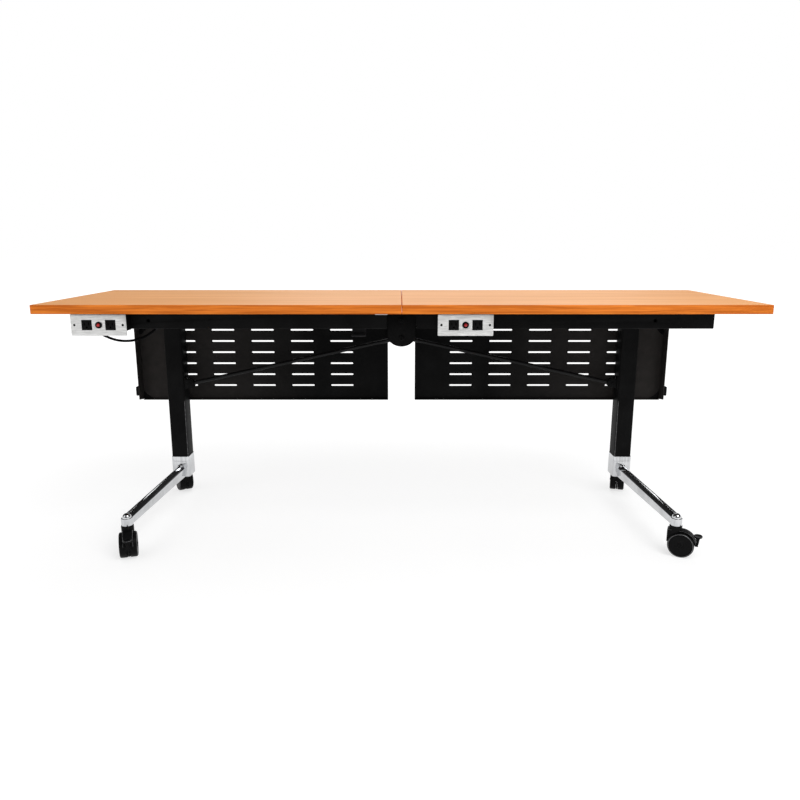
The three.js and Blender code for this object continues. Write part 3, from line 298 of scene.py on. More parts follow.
def backing(name):
    """Dark backing sheet with a faint mottle."""
    material, tree, shader = start(name, Specular_IOR_Level=0.2, Roughness=0.6)
    mottle = noise(tree, (1, 1, 1), 60.0, 4.0)
    sheet = tuple(colours().backing)
    deep = tuple(0.7 * value for value in sheet[:3]) + (1,)
    tree.links.new(ramp(tree, mottle, (0.35, deep), (0.7, sheet)), shader.inputs["Base Color"])
    return material


def coat(name, paint):
    """Fine orange peel over dark paint, a little paler in random worn patches."""
    material, tree, shader = start(name, Specular_IOR_Level=0.02)
    peel = noise(tree, (1, 1, 1), 900.0, 2.0)
    cloud = noise(tree, (1, 1, 1), 9.0, 4.0)
    paint = tuple(paint)
    worn = tuple(min(1.0, 1.8 * value) for value in paint[:3]) + (1,)
    tree.links.new(ramp(tree, cloud, (0.4, paint), (0.75, worn)), shader.inputs["Base Color"])
    tree.links.new(ramp(tree, cloud, (0.3, 0.32), (0.7, 0.42)), shader.inputs["Roughness"])
    bump(tree, shader, peel, 0.25, 0.0002)
    return material


def powder_coat(name):
    return coat(name, colours().paint)


def panel_coat(name):
    """The frame's paint, with a paler colour painted towards the panels' outer ends as painted light, broken into
    patches.
    """
    material = coat(name, colours().paint)
    tree = material.node_tree
    shader = tree.nodes["Principled BSDF"]
    clean = shader.inputs["Base Color"].links[0].from_socket
    place = add(tree, "ShaderNodeTexCoord").outputs["Object"]
    across = add(tree, "ShaderNodeSeparateXYZ", {"Vector": place}).outputs["X"]
    out = add(tree, "ShaderNodeMath", {0: across}, operation="ABSOLUTE").outputs[0]
    light_patches = ramp(tree, noise(tree, (1, 1, 1), 40.0, 4.0), (0.3, 0.75), (0.7, 1.0))
    share = maths(tree, "MULTIPLY", ramp(tree, out, (0.3, 0.0), (0.85, 1.0)), light_patches)
    tree.links.new(mixed(tree, share, clean, tuple(colours().panel)), shader.inputs["Base Color"])
    return material


# The lever's paint is drawn paler than the frame's as a painted highlight.
def lever_coat(name):
    return coat(name, [0.28 * value for value in colours().worn[:3]] + [1])


def gloss_coat(name):
    """Smoother black of the drawn rods, with faint lengthwise marks."""
    material, tree, shader = start(name, Specular_IOR_Level=0.14)
    marks = noise(tree, (0.1, 1, 1), 300.0, 3.0)
    paint = tuple(colours().paint)
    worn = tuple(1.6 * value for value in paint[:3]) + (1,)
    tree.links.new(ramp(tree, marks, (0.4, paint), (0.7, worn)), shader.inputs["Base Color"])
    tree.links.new(ramp(tree, marks, (0.3, 0.14), (0.7, 0.2)), shader.inputs["Roughness"])
    return material


def moulding(name):
    """Matt black plastic with a spark-eroded grain."""
    material, tree, shader = start(name, Specular_IOR_Level=0.07)
    grain = noise(tree, (1, 1, 1), 1400.0, 2.0)
    cloud = noise(tree, (1, 1, 1), 25.0, 3.0)
    plastic = tuple(colours().plastic)
    dusty = tuple(min(1.0, 1.6 * value) for value in plastic[:3]) + (1,)
    tree.links.new(ramp(tree, cloud, (0.35, plastic), (0.75, dusty)), shader.inputs["Base Color"])
    tree.links.new(ramp(tree, cloud, (0.3, 0.38), (0.7, 0.5)), shader.inputs["Roughness"])
    bump(tree, shader, grain, 0.2, 0.0002)
    return material


def rubbed(name):
    """Glossy black with a paler colour that paints a highlight on chosen edges, broken into patches."""
    material, tree, shader = start(name, Specular_IOR_Level=0.6)
    highlight_patches = noise(tree, (1, 1, 1), 90.0, 4.0, 0.6)
    pale = tuple(colours().worn)
    deep = tuple(0.3 * value for value in pale[:3]) + (1,)
    tree.links.new(ramp(tree, highlight_patches, (0.35, deep), (0.6, pale)), shader.inputs["Base Color"])
    tree.links.new(ramp(tree, highlight_patches, (0.3, 0.2), (0.7, 0.32)), shader.inputs["Roughness"])
    return material


def tread(name):
    """Harder, smoother black of the wheels, scuffed by the floor."""
    material, tree, shader = start(name, Specular_IOR_Level=0.07)
    scuff = noise(tree, (1, 1, 1), 70.0, 5.0, 0.7)
    plastic = tuple(colours().plastic)
    scuffed = tuple(min(1.0, 2.6 * value) for value in plastic[:3]) + (1,)
    tree.links.new(ramp(tree, scuff, (0.5, plastic), (0.8, scuffed)), shader.inputs["Base Color"])
    tree.links.new(ramp(tree, scuff, (0.35, 0.28), (0.7, 0.48)), shader.inputs["Roughness"])
    bump(tree, shader, scuff, 0.08, 0.0003)
    return material


def chrome(name):
    """Polished plating with faint smears."""
    material, tree, shader = start(name, Metallic=1.0)
    smear = noise(tree, (1, 0.07, 0.07), 130.0, 4.0, 0.6)
    plate = tuple(colours().chrome)
    dull = tuple(0.8 * value for value in plate[:3]) + (1,)
    tree.links.new(ramp(tree, smear, (0.4, plate), (0.62, dull)), shader.inputs["Base Color"])
    tree.links.new(ramp(tree, smear, (0.35, 0.05), (0.8, 0.13)), shader.inputs["Roughness"])
    return material


def zinc(name):
    """Plated steel with a fine spangle."""
    material, tree, shader = start(name, Metallic=1.0)
    spangle = noise(tree, (1, 1, 1), 160.0, 4.0, 0.6)
    plate = tuple(colours().zinc)
    dull = tuple(0.75 * value for value in plate[:3]) + (1,)
    tree.links.new(ramp(tree, spangle, (0.35, dull), (0.65, plate)), shader.inputs["Base Color"])
    tree.links.new(ramp(tree, spangle, (0.3, 0.26), (0.7, 0.4)), shader.inputs["Roughness"])
    bump(tree, shader, spangle, 0.06, 0.0002)
    return material


def brushed(name):
    """Aluminium brushed along its length."""
    material, tree, shader = start(name, Metallic=1.0)
    lines = noise(tree, (0.03, 1, 1), 1300.0, 3.0, 0.7)
    bands = noise(tree, (0.12, 1, 1), 260.0, 3.0, 0.7)
    plate = tuple(colours().aluminium)
    dull = tuple(0.72 * value for value in plate[:3]) + (1,)
    drawn = mixed(tree, 0.6, lines, bands)
    tree.links.new(ramp(tree, drawn, (0.38, dull), (0.62, plate)), shader.inputs["Base Color"])
    tree.links.new(ramp(tree, lines, (0.3, 0.5), (0.7, 0.36)), shader.inputs["Roughness"])
    bump(tree, shader, lines, 0.12, 0.0002)
    return material


def red_gloss(name):
    """Red button plastic with a slight cloud in it."""
    material, tree, shader = start(name, Roughness=0.25)
    cloud = noise(tree, (1, 1, 1), 300.0, 3.0)
    red = tuple(colours().red)
    deep = tuple(0.6 * value for value in red[:3]) + (1,)
    tree.links.new(ramp(tree, cloud, (0.35, deep), (0.65, red)), shader.inputs["Base Color"])
    return material


def jacket(name):
    """Matt cable jacket with fine lengthwise drawing marks."""
    material, tree, shader = start(name, Roughness=0.6, Specular_IOR_Level=0.03)
    marks = noise(tree, (1, 1, 1), 420.0, 3.0)
    plastic = tuple(colours().plastic)
    deep = tuple(0.5 * value for value in plastic[:3]) + (1,)
    tree.links.new(ramp(tree, marks, (0.4, deep), (0.7, plastic)), shader.inputs["Base Color"])
    bump(tree, shader, marks, 0.1, 0.0002)
    return material


FINISH_OF_SLOT = {
    "wood_laminate": laminate,
    "black_paint": powder_coat,
    "dark_steel": powder_coat,
    "chrome": chrome,
    "zinc_steel": zinc,
    "brushed_aluminium": brushed,
    "black_plastic": moulding,
    "caster_tread": tread,
    "red_plastic": red_gloss,
    "cable": jacket,
}


def slot_finish(slot):
    maker = FINISH_OF_SLOT[slot]
    return finish(maker.__name__, maker)


# Stage

def floor_finish(name):
    """Pale floor that reads as white to the camera and in reflections, and still takes the table's shadow."""
    material, tree, shader = start(name, Base_Color=colours().floor, Roughness=0.8)
    path = add(tree, "ShaderNodeLightPath").outputs
    shiny = maths(tree, "MAXIMUM", path["Is Glossy Ray"], path["Is Transmission Ray"])
    place = add(tree, "ShaderNodeTexCoord").outputs["Object"]
    away = add(tree, "ShaderNodeVectorMath", {0: place}, operation="LENGTH").outputs["Value"]
    share = ramp(tree, maths(tree, "DIVIDE", away, 4.0), (0.3, 0.55), (0.8, 1.0))
    direct = maths(tree, "MULTIPLY", path["Is Camera Ray"], share)
    seen = maths(tree, "MAXIMUM", direct, maths(tree, "MULTIPLY", shiny, 0.3))
    white = add(tree, "ShaderNodeEmission", {"Color": (1, 1, 1, 1), "Strength": 1.2})
    blend = add(tree, "ShaderNodeMixShader", {"Fac": seen})
    tree.links.new(shader.outputs[0], blend.inputs[1])
    tree.links.new(white.outputs[0], blend.inputs[2])
    tree.links.new(blend.outputs[0], tree.nodes["Material Output"].inputs["Surface"])
    return material


def soft_box(name, place, aim, size, power):
    lamp = bpy.data.lights.new(name, "AREA")
    lamp.shape = "RECTANGLE"
    lamp.size, lamp.size_y = size
    lamp.energy = power
    made = bpy.data.objects.new(name, lamp)
    bpy.context.scene.collection.objects.link(made)
    made.location = place
    made.rotation_euler = (Vector(aim) - Vector(place)).to_track_quat("-Z", "Y").to_euler()
    return made


class TABLE_OT_stage(bpy.types.Operator):
    """Make the camera, the studio light and the floor"""

    bl_idname = "table.stage"
    bl_label = "Stage"

    def execute(self, context):
        scene = context.scene
        stage = scene.table_stage
        scene.view_settings.view_transform = "Standard"
        lens = bpy.data.cameras.new("camera")
        lens.sensor_width = 36
        lens.lens = stage.focal_pixels / stage.frame_pixels * lens.sensor_width
        camera = bpy.data.objects.new("camera", lens)
        scene.collection.objects.link(camera)
        camera.location = stage.camera
        camera.rotation_euler = (math.pi / 2 - stage.pitch, 0, stage.yaw)
        scene.camera = camera

        world = bpy.data.worlds.new("studio")
        world.use_nodes = True
        tree = world.node_tree
        path = add(tree, "ShaderNodeLightPath").outputs
        look = add(tree, "ShaderNodeTexCoord").outputs["Generated"]
        rise = add(tree, "ShaderNodeSeparateXYZ", {"Vector": look}).outputs["Z"]
        mirrored = ramp(tree, rise, (0.0, 1.0), (0.16, 1.0), (0.27, 0.02), (1.0, 0.02))
        shiny = maths(tree, "MAXIMUM", path["Is Glossy Ray"], path["Is Transmission Ray"])
        lit = mixed(tree, shiny, (0.55, 0.55, 0.55, 1), mirrored)
        shown = mixed(tree, path["Is Camera Ray"], lit, (1, 1, 1, 1))
        tree.links.new(shown, tree.nodes["Background"].inputs["Color"])
        scene.world = world

        bm = bmesh.new()
        bmesh.ops.create_grid(bm, x_segments=1, y_segments=1, size=30)
        data = bpy.data.meshes.new("floor")
        bm.to_mesh(data)
        bm.free()
        data.materials.append(finish("floor", floor_finish))
        floor = bpy.data.objects.new("floor", data)
        scene.collection.objects.link(floor)
        soft_box("key", (1.6, -2.2, 3.2), (0, 0, 0.4), (2.4, 2.4), 86)
        soft_box("fill", (-2.4, -1.6, 1.8), (0, 0, 0.4), (1.8, 1.8), 11)
        soft_box("back", (0.4, 3.0, 2.6), (0, 0, 0.5), (3.0, 1.6), 40)
        return {"FINISHED"}


# Meshes

def piece(name, source, finishes, body, replaced=(), smooth=math.radians(35)):
    """A finished object from a bmesh or a mesh, riding on its body in place of the nodes that it replaces."""
    if isinstance(source, bmesh.types.BMesh):
        data = bpy.data.meshes.new(name)
        source.to_mesh(data)
        source.free()
    else:
        data = source
        data.name = name
    if not data.materials:
        for material in finishes:
            data.materials.append(material)
    data.shade_smooth()
    data.set_sharp_from_angle(angle=smooth)
    made = bpy.data.objects.new(name, data)
    bpy.context.scene.collection.objects.link(made)
    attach(made, body)
    if replaced:
        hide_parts(*replaced)
    return made


def ring(width, depth, corner, steps=6):
    """A rounded rectangle as anticlockwise (u, v) pairs about its middle."""
    points = []
    for quarter, (right, far) in enumerate(((1, 1), (-1, 1), (-1, -1), (1, -1))):
        for step in range(steps + 1):
            angle = math.pi / 2 * (quarter + step / steps)
            u = right * (width / 2 - corner) + corner * math.cos(angle)
            v = far * (depth / 2 - corner) + corner * math.sin(angle)
            points.append((u, v))
    return points


def loft(bm, loops, closed=False, finish_of=lambda row: 0):
    """Skins equal loops of places in turn. Open ends are capped; closed joins the last loop to the first."""
    rows = [[bm.verts.new(place) for place in loop] for loop in loops]
    pairs = list(zip(rows, rows[1:]))
    if closed:
        pairs.append((rows[-1], rows[0]))
    for number, (lower, upper) in enumerate(pairs):
        for i in range(len(lower)):
            face = bm.faces.new((lower[i - 1], lower[i], upper[i], upper[i - 1]))
            face.material_index = finish_of(number)
    if not closed:
        bm.faces.new(reversed(rows[0])).material_index = finish_of(-1)
        bm.faces.new(rows[-1]).material_index = finish_of(len(pairs))


def turned(bm, profile, place, closed=False, steps=48, finish_of=lambda row: 0):
    """Turns (radius, height) pairs about the local Z of place."""
    angles = [math.tau * step / steps for step in range(steps)]
    loops = [
        [place @ Vector((radius * math.cos(a), radius * math.sin(a), height)) for a in angles]
        for radius, height in profile
    ]
    loft(bm, loops, closed, finish_of)


def upright(x, y, z=0.0):
    return Matrix.Translation((x, y, z))


def facing(place, direction):
    """A frame at place whose Z looks along direction."""
    return Matrix.Translation(place) @ Vector(direction).to_track_quat("Z", "Y").to_matrix().to_4x4()


def closed_up(bm):
    """Merges doubles and turns every shell's faces outwards."""
    bmesh.ops.remove_doubles(bm, verts=bm.verts, dist=1e-6)
    bmesh.ops.recalc_face_normals(bm, faces=bm.faces)
    return bm


def made_real(data, name, settle):
    """The plain mesh that an object holding data evaluates to once settle has given it a modifier."""
    holder = bpy.data.objects.new(name, data)
    bpy.context.scene.collection.objects.link(holder)
    modifier = settle(holder)
    bpy.context.view_layer.update()
    result = bpy.data.meshes.new_from_object(holder.evaluated_get(bpy.context.evaluated_depsgraph_get()))
    holder.modifiers.remove(modifier)
    bpy.data.objects.remove(holder)
    bpy.data.meshes.remove(data)
    return result


def softened(bm, width, segments=2):
    """The mesh of bm with its sharp edges rounded."""
    data = bpy.data.meshes.new("soft")
    bm.to_mesh(data)
    bm.free()

    def settle(holder):
        bevel = holder.modifiers.new("edges", "BEVEL")
        bevel.width = width
        bevel.segments = segments
        bevel.limit_method = "ANGLE"
        bevel.angle_limit = math.radians(40)
        return bevel

    return made_real(data, "soft", settle)


def from_node(name):
    """A frame node's solid with its doubles merged and its flat faces made whole."""
    bm = bmesh.new()
    bm.from_mesh(frame["nodes"][name].data)
    bmesh.ops.remove_doubles(bm, verts=bm.verts, dist=1e-5)
    bmesh.ops.dissolve_limit(bm, angle_limit=math.radians(1), verts=bm.verts, edges=bm.edges)
    return bm


def eased(name, width, segments=2, material=None):
    """Stands a rounded copy in for a frame node."""
    data = softened(from_node(name), width, segments)
    finishes = [material or slot_finish(SLOT_OF[name])]
    return piece(name + "_shaped", data, finishes, BODY_OF[name], [name])


def worn_finishes(name):
    """A node's own finish, and the one that paints a highlight on its chosen edges."""
    return [slot_finish(SLOT_OF[name]), finish("rubbed", rubbed)]


def stand_in(name, bm, finishes=None):
    """Stands a new shape in for a frame node of that name."""
    finishes = finishes or [slot_finish(SLOT_OF[name])]
    return piece(name + "_shaped", closed_up(bm), finishes, BODY_OF[name], [name])


def middle(lo, hi):
    return (Vector(lo) + Vector(hi)) / 2



# Pieces

class TABLE_OT_tops(bpy.types.Operator):
    """Make the half tops with their edge bands"""

    bl_idname = "table.tops"
    bl_label = "Half tops"

    def execute(self, context):
        edge, band, corner = sizes().top_edge, sizes().band, sizes().top_corner
        for hand, side in SIDES:
            lo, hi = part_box("top_" + hand)
            centre = middle(lo, hi)
            wide, deep = hi[0] - lo[0], hi[1] - lo[1]

            def loop(inset, z):
                outline = ring(wide - 2 * inset, deep - 2 * inset, max(corner - inset, 0.0004))
                return [(centre.x + u, centre.y + v, z) for u, v in outline]

            soft = 0.3 * edge
            rise = [(band, lo[2]), (edge, lo[2]), (soft, lo[2] + soft), (0, lo[2] + edge)]
            rise += [(0, hi[2] - edge), (soft, hi[2] - soft), (edge, hi[2]), (band, hi[2])]
            last = len(rise) - 1
            bm = bmesh.new()
            loft(bm, [loop(*step) for step in rise], finish_of=lambda row: 2 if row < 0 else int(row < last))
            faces = [slot_finish("wood_laminate"), finish("edge_band", edge_band), finish("backing", backing)]
            stand_in("top_" + hand, bm, faces)
        return {"FINISHED"}


class TABLE_OT_columns(bpy.types.Operator):
    """Make the columns as rounded tubes"""

    bl_idname = "table.columns"
    bl_label = "Columns"

    def execute(self, context):
        corner, wall = sizes().column_corner, sizes().column_wall
        for hand, side in SIDES:
            lo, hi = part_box("column_" + hand)
            centre = middle(lo, hi)

            def loop(inset, z):
                outline = ring(hi[0] - lo[0] - 2 * inset, hi[1] - lo[1] - 2 * inset, corner - inset, 8)
                return [(centre.x + u, centre.y + v, z) for u, v in outline]

            bm = bmesh.new()
            worn = sizes().column_wear
            loops = [loop(0, lo[2]), loop(0, worn), loop(0, hi[2]), loop(wall, hi[2]), loop(wall, lo[2])]
            loft(bm, loops, closed=True)
            closed_up(bm)
            # Faces on the inner front corner below that height take a painted highlight line.
            for face in bm.faces:
                low = face.calc_center_median().z < worn
                face.material_index = int(low and min(-side * face.normal.x, -face.normal.y) > 0.6)
            stand_in("column_" + hand, bm, worn_finishes("column_" + hand))
        return {"FINISHED"}


def foot_socket(bm, hand):
    lo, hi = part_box("column_" + hand)
    centre = middle(lo, hi)
    wall, gap, soft = sizes().socket_wall, sizes().seat_gap, 0.0008

    def loop(out, z):
        corner = sizes().column_corner + out
        outline = ring(hi[0] - lo[0] + 2 * out, hi[1] - lo[1] + 2 * out, corner, 8)
        return [(centre.x + u, centre.y + v, z) for u, v in outline]

    bottom, top = sizes().socket_bottom, sizes().socket_top
    steps = [(wall - 2 * soft, bottom), (wall - 0.6 * soft, bottom + 0.4 * soft), (wall, bottom + 2 * soft)]
    steps += [(wall, top - soft), (wall - 0.4 * soft, top - 0.2 * soft), (wall - soft, top), (gap, top)]
    steps += [(gap, lo[2] - gap)]
    loft(bm, [loop(*step) for step in steps])


def foot_arm(bm, root, tip):
    """The crowned front arm, from a place in the socket's wall to the front stem."""
    run = Vector((tip[0] - root[0], tip[1] - root[1], 0))
    across = Vector((0, 0, 1)).cross(run.normalized())
    half, facet, chamfer = sizes().arm_width / 2, sizes().arm_facet / 2, sizes().arm_chamfer
    loops = []
    for step in range(13):
        share = step / 12
        low = sizes().socket_bottom + share * (sizes().stem_base - sizes().socket_bottom)
        high = sizes().arm_root_top + share * (sizes().arm_tip_top - sizes().arm_root_top)
        flank = [
            (half - 0.003, low),
            (half - 0.0009, low + 0.0009),
            (half, low + 0.003),
            (half, high - chamfer - 0.001),
            (half - 0.0003, high - chamfer - 0.0001),
            (half - 0.001, high - chamfer + 0.0009),
            (facet + 0.0012, high - 0.0026),
            (facet - 0.0008, high - 0.0012),
            (0.5 * facet, high - 0.0004),
        ]
        section = flank + [(0, high)] + [(-u, z) for u, z in reversed(flank)]
        base = Vector((root[0], root[1], 0)) + share * run
        loops.append([base + u * across + Vector((0, 0, z)) for u, z in section])
    loft(bm, loops)


BOSS = (
    (0.0053, 0.0),
    (0.0155, 0.0),
    (0.0163, 0.0003),
    (0.0165, 0.0012),
    (0.0165, 0.0205),
    (0.0161, 0.0217),
    (0.0152, 0.0222),
    (0.0143, 0.0219),
    (0.0138, 0.0212),
    (0.0136, 0.0222),
)


def foot_boss(bm, x, y):
    """A round end over a stem, with a ball set in a ring."""
    radius, start = BOSS[-1]
    rise = sizes().boss_rise - start
    ball = [
        (radius * math.cos(math.radians(angle)), start + rise * math.sin(math.radians(angle)))
        for angle in range(9, 91, 9)
    ]
    inside = [(0, 0.03), (0.0053, 0.0265)]
    turned(bm, inside[::-1][1:] + [(0.0053, 0.0265), *BOSS, *ball], upright(x, y, sizes().stem_base))


class TABLE_OT_feet(bpy.types.Operator):
    """Make the plated feet: socket, arm, rear stub and bosses"""

    bl_idname = "table.feet"
    bl_label = "Feet"

    def execute(self, context):
        for hand, side in SIDES:
            lo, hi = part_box("column_" + hand)
            centre = middle(lo, hi)
            front = JOINTS["swivel_front_" + hand]["pos_m"]
            rear = JOINTS["swivel_rear_" + hand]["pos_m"]
            wall = sizes().socket_wall
            bm = bmesh.new()
            foot_socket(bm, hand)
            root = (centre.x, lo[1] - 0.6 * wall)
            foot_arm(bm, root, front)
            nose = [(0.0085 * math.cos(math.radians(a)), 0.006 * math.sin(math.radians(a))) for a in range(0, 91, 10)]
            lean = Vector(front[:2]) - Vector(root)
            spot = Vector(root) + lean.normalized() * 0.0075
            turned(bm, [(0, -0.004), (0.0085, -0.004), *nose], upright(*spot, sizes().arm_root_top - 0.0025))
            high = sizes().arm_tip_top - sizes().arm_chamfer
            stub = ring(0.026, high - sizes().stem_base, 0.003)
            ends = (hi[1] + 0.6 * wall, rear[1])
            level = (high + sizes().stem_base) / 2
            loft(bm, [[(rear[0] - u, y, level + v) for u, v in stub] for y in ends])
            for stem in (front, rear):
                foot_boss(bm, stem[0], stem[1])
            stand_in("foot_" + hand, bm)
        return {"FINISHED"}


TRAIL = 0.018
AXLE_HEIGHT = 0.0375
WHEEL_PROFILE = (
    (0.0044, 0.0032),
    (0.03, 0.0032),
    (0.0352, 0.0034),
    (0.0371, 0.0046),
    (0.0375, 0.0068),
    (0.0375, 0.0198),
    (0.037, 0.0222),
    (0.0358, 0.0241),
    (0.034, 0.0251),
    (0.0333, 0.0249),
    (0.0329, 0.0238),
    (0.0324, 0.0232),
    (0.0314, 0.0235),
    (0.0302, 0.0244),
    (0.027, 0.0247),
    (0.014, 0.0242),
    (0.0092, 0.024),
    (0.0086, 0.0249),
    (0.0076, 0.0252),
    (0.0044, 0.0252),
)


# Rows of the wheel's profile that take the painted highlight, a pale ring round the disc.
WHEEL_HIGHLIGHT_ROWS = (7, 8)


def caster_frame(place):
    """A frame on the floor under the stem, with local X along the axle and -Y along the trail."""
    x, y, _ = JOINTS["swivel_" + place]["pos_m"]
    axle = JOINTS["roll_" + place + "_a"]["axis"]
    return upright(x, y) @ Matrix.Rotation(math.atan2(axle[1], axle[0]), 4, "Z")


def about_axle(place):
    return place @ Matrix.Translation((0, -TRAIL, AXLE_HEIGHT)) @ Matrix.Rotation(math.pi / 2, 4, "Y")


def room_height(y, least):
    """Height of the wheels' room over local y, no lower than least."""
    away = y + TRAIL
    room = sizes().hood_inside
    return max(least, AXLE_HEIGHT + math.sqrt(max(room * room - away * away, 0)))


def caster_hood(bm, place):
    inside, thick, wide = sizes().hood_inside, sizes().hood_wall, sizes().hood_width
    loops = []
    for angle in range(14, 181, 6):
        out = (math.cos(math.radians(angle)), math.sin(math.radians(angle)))
        section = ring(wide, thick, 0.45 * thick, 3)
        spot = [(u, inside + thick / 2 + v) for u, v in section]
        loops.append([place @ Vector((u, r * out[0] - TRAIL, r * out[1] + AXLE_HEIGHT)) for u, r in spot])
    loft(bm, loops)
    for edge in (-1, 1):
        loops = []
        for angle in range(20, 175, 6):
            out = (math.cos(math.radians(angle)), math.sin(math.radians(angle)))
            bead = [(0.0008 * math.cos(math.radians(a)), 0.0008 * math.sin(math.radians(a))) for a in range(0, 360, 60)]
            spot = [(edge * (wide / 2 - 0.0015) + u, inside + thick + v) for u, v in bead]
            loops.append([place @ Vector((u, r * out[0] - TRAIL, r * out[1] + AXLE_HEIGHT)) for u, r in spot])
        # The beads along the hood's edges take the painted highlight.
        loft(bm, loops, finish_of=lambda row: 1)


def caster_web(bm, place):
    outline = [(a, sizes().hood_inside + 0.001) for a in range(16, 179, 6)]
    outline += [(a, 0.0362) for a in range(186, 370, 6)]
    spots = [(r * math.cos(math.radians(a)) - TRAIL, r * math.sin(math.radians(a)) + AXLE_HEIGHT) for a, r in outline]
    loft(bm, [[place @ Vector((x, y, z)) for y, z in spots] for x in (-0.0025, 0.0025)])
    for side in (-1, 1):
        cap = [(0, 0.0262), (0.003, 0.0261), (0.0038, 0.0257), (0.004, 0.025), (0.004, 0.002), (0, 0.002)]
        turned(bm, cap, about_axle(place) @ Matrix.Scale(side, 4, (0, 0, 1)), steps=24)


def caster_neck(bm, place):
    radius, top = sizes().neck_radius, sizes().stem_base - sizes().seat_gap
    angles = [math.tau * step / 48 for step in range(48)]

    def floor(r):
        spots = [(r * math.cos(a), r * math.sin(a)) for a in angles]
        return [place @ Vector((x, y, room_height(y, 0.0495))) for x, y in spots]

    def level(r, z):
        return [place @ Vector((r * math.cos(a), r * math.sin(a), z)) for a in angles]

    walls = [level(radius, top - 0.0075), level(radius - 0.0006, top - 0.007), level(radius - 0.0006, top - 0.006)]
    walls += [level(radius, top - 0.0055), level(radius, top - 0.0015), level(radius - 0.0004, top - 0.0004)]
    walls += [level(radius - 0.0015, top), level(0.005, top), level(0.005, top + 0.02), level(0, top + 0.021)]
    loft(bm, [floor(0), floor(0.006), floor(0.012), floor(radius), *walls])
    back = ring(sizes().hood_width, 0.022, 0.004)
    heights = ((0.0, 0.042), (0.0, 0.0785), (0.0004, 0.0794), (0.0015, 0.08))
    loops = []
    for inset, z in heights:
        shrink = 1 - inset / 0.011
        loops.append([place @ Vector((shrink * u, 0.0115 + shrink * v, z)) for u, v in back])
    # The back's rounded top edge takes the painted highlight.
    loft(bm, loops, finish_of=lambda row: int(row == 1))


class TABLE_OT_casters(bpy.types.Operator):
    """Make the casters, their wheels and the brake pedals"""

    bl_idname = "table.casters"
    bl_label = "Casters"

    def execute(self, context):
        for name in PLACES:
            place = caster_frame(name)
            bm = bmesh.new()
            caster_hood(bm, place)
            caster_web(bm, place)
            caster_neck(bm, place)
            braked = "brake_" + name in JOINTS
            if braked:
                lug = ring(0.016, 0.0085, 0.0015, 3)
                loft(bm, [[place @ Vector((u, v - 0.0608, z)) for u, v in lug] for z in (0.036, 0.0422)])
            stand_in("caster_" + name, bm, worn_finishes("caster_" + name))
            for letter, side in (("a", -1), ("b", 1)):
                bm = bmesh.new()
                axle = about_axle(place) @ Matrix.Scale(side, 4, (0, 0, 1))
                turned(bm, WHEEL_PROFILE, axle, True, 64, lambda row: int(row in WHEEL_HIGHLIGHT_ROWS))
                wheel = "wheel_" + name + "_" + letter
                stand_in(wheel, bm, worn_finishes(wheel))
            if braked:
                bm = bmesh.new()
                self.pedal(bm, place)
                stand_in("brake_pedal_" + name, bm, worn_finishes("brake_pedal_" + name))
        return {"FINISHED"}

    def pedal(self, bm, place):
        pivot = place @ Matrix.Translation((0, -0.063, 0.046))
        pad = [(0, 0.016), (0.0085, 0.016), (0.0114, 0.0172), (0.012, 0.0188), (0.012, 0.0216), (0.0116, 0.0226)]
        pad += [(0.0108, 0.023), (0.0098, 0.0229), (0.0092, 0.0224), (0.006, 0.0222), (0, 0.0221)]
        # The pad's rounded rim takes the painted highlight.
        turned(bm, pad, pivot, finish_of=lambda row: int(row in (4, 5)))
        for step in range(3):
            rib = ring(0.0165 - 0.004 * abs(step - 1), 0.0016, 0.0006, 2)
            y = 0.0042 * (step - 1)
            loft(bm, [[pivot @ Vector((u, v + y, z)) for u, v in rib] for z in (0.0215, 0.0229)])
        waist = [(-0.004, 0.009, 0.005), (0.0, 0.010, 0.007), (0.008, 0.011, 0.0085), (0.0165, 0.0135, 0.0115)]
        loft(bm, [[pivot @ Vector((u, v, z)) for u, v in ring(w, d, 0.0018, 4)] for z, w, d in waist])
        barrel = [(0, -0.008), (0.003, -0.008), (0.0035, -0.0075), (0.0035, 0.0075), (0.003, 0.008), (0, 0.008)]
        turned(bm, barrel, pivot @ Matrix.Rotation(math.pi / 2, 4, "Y"), steps=24)


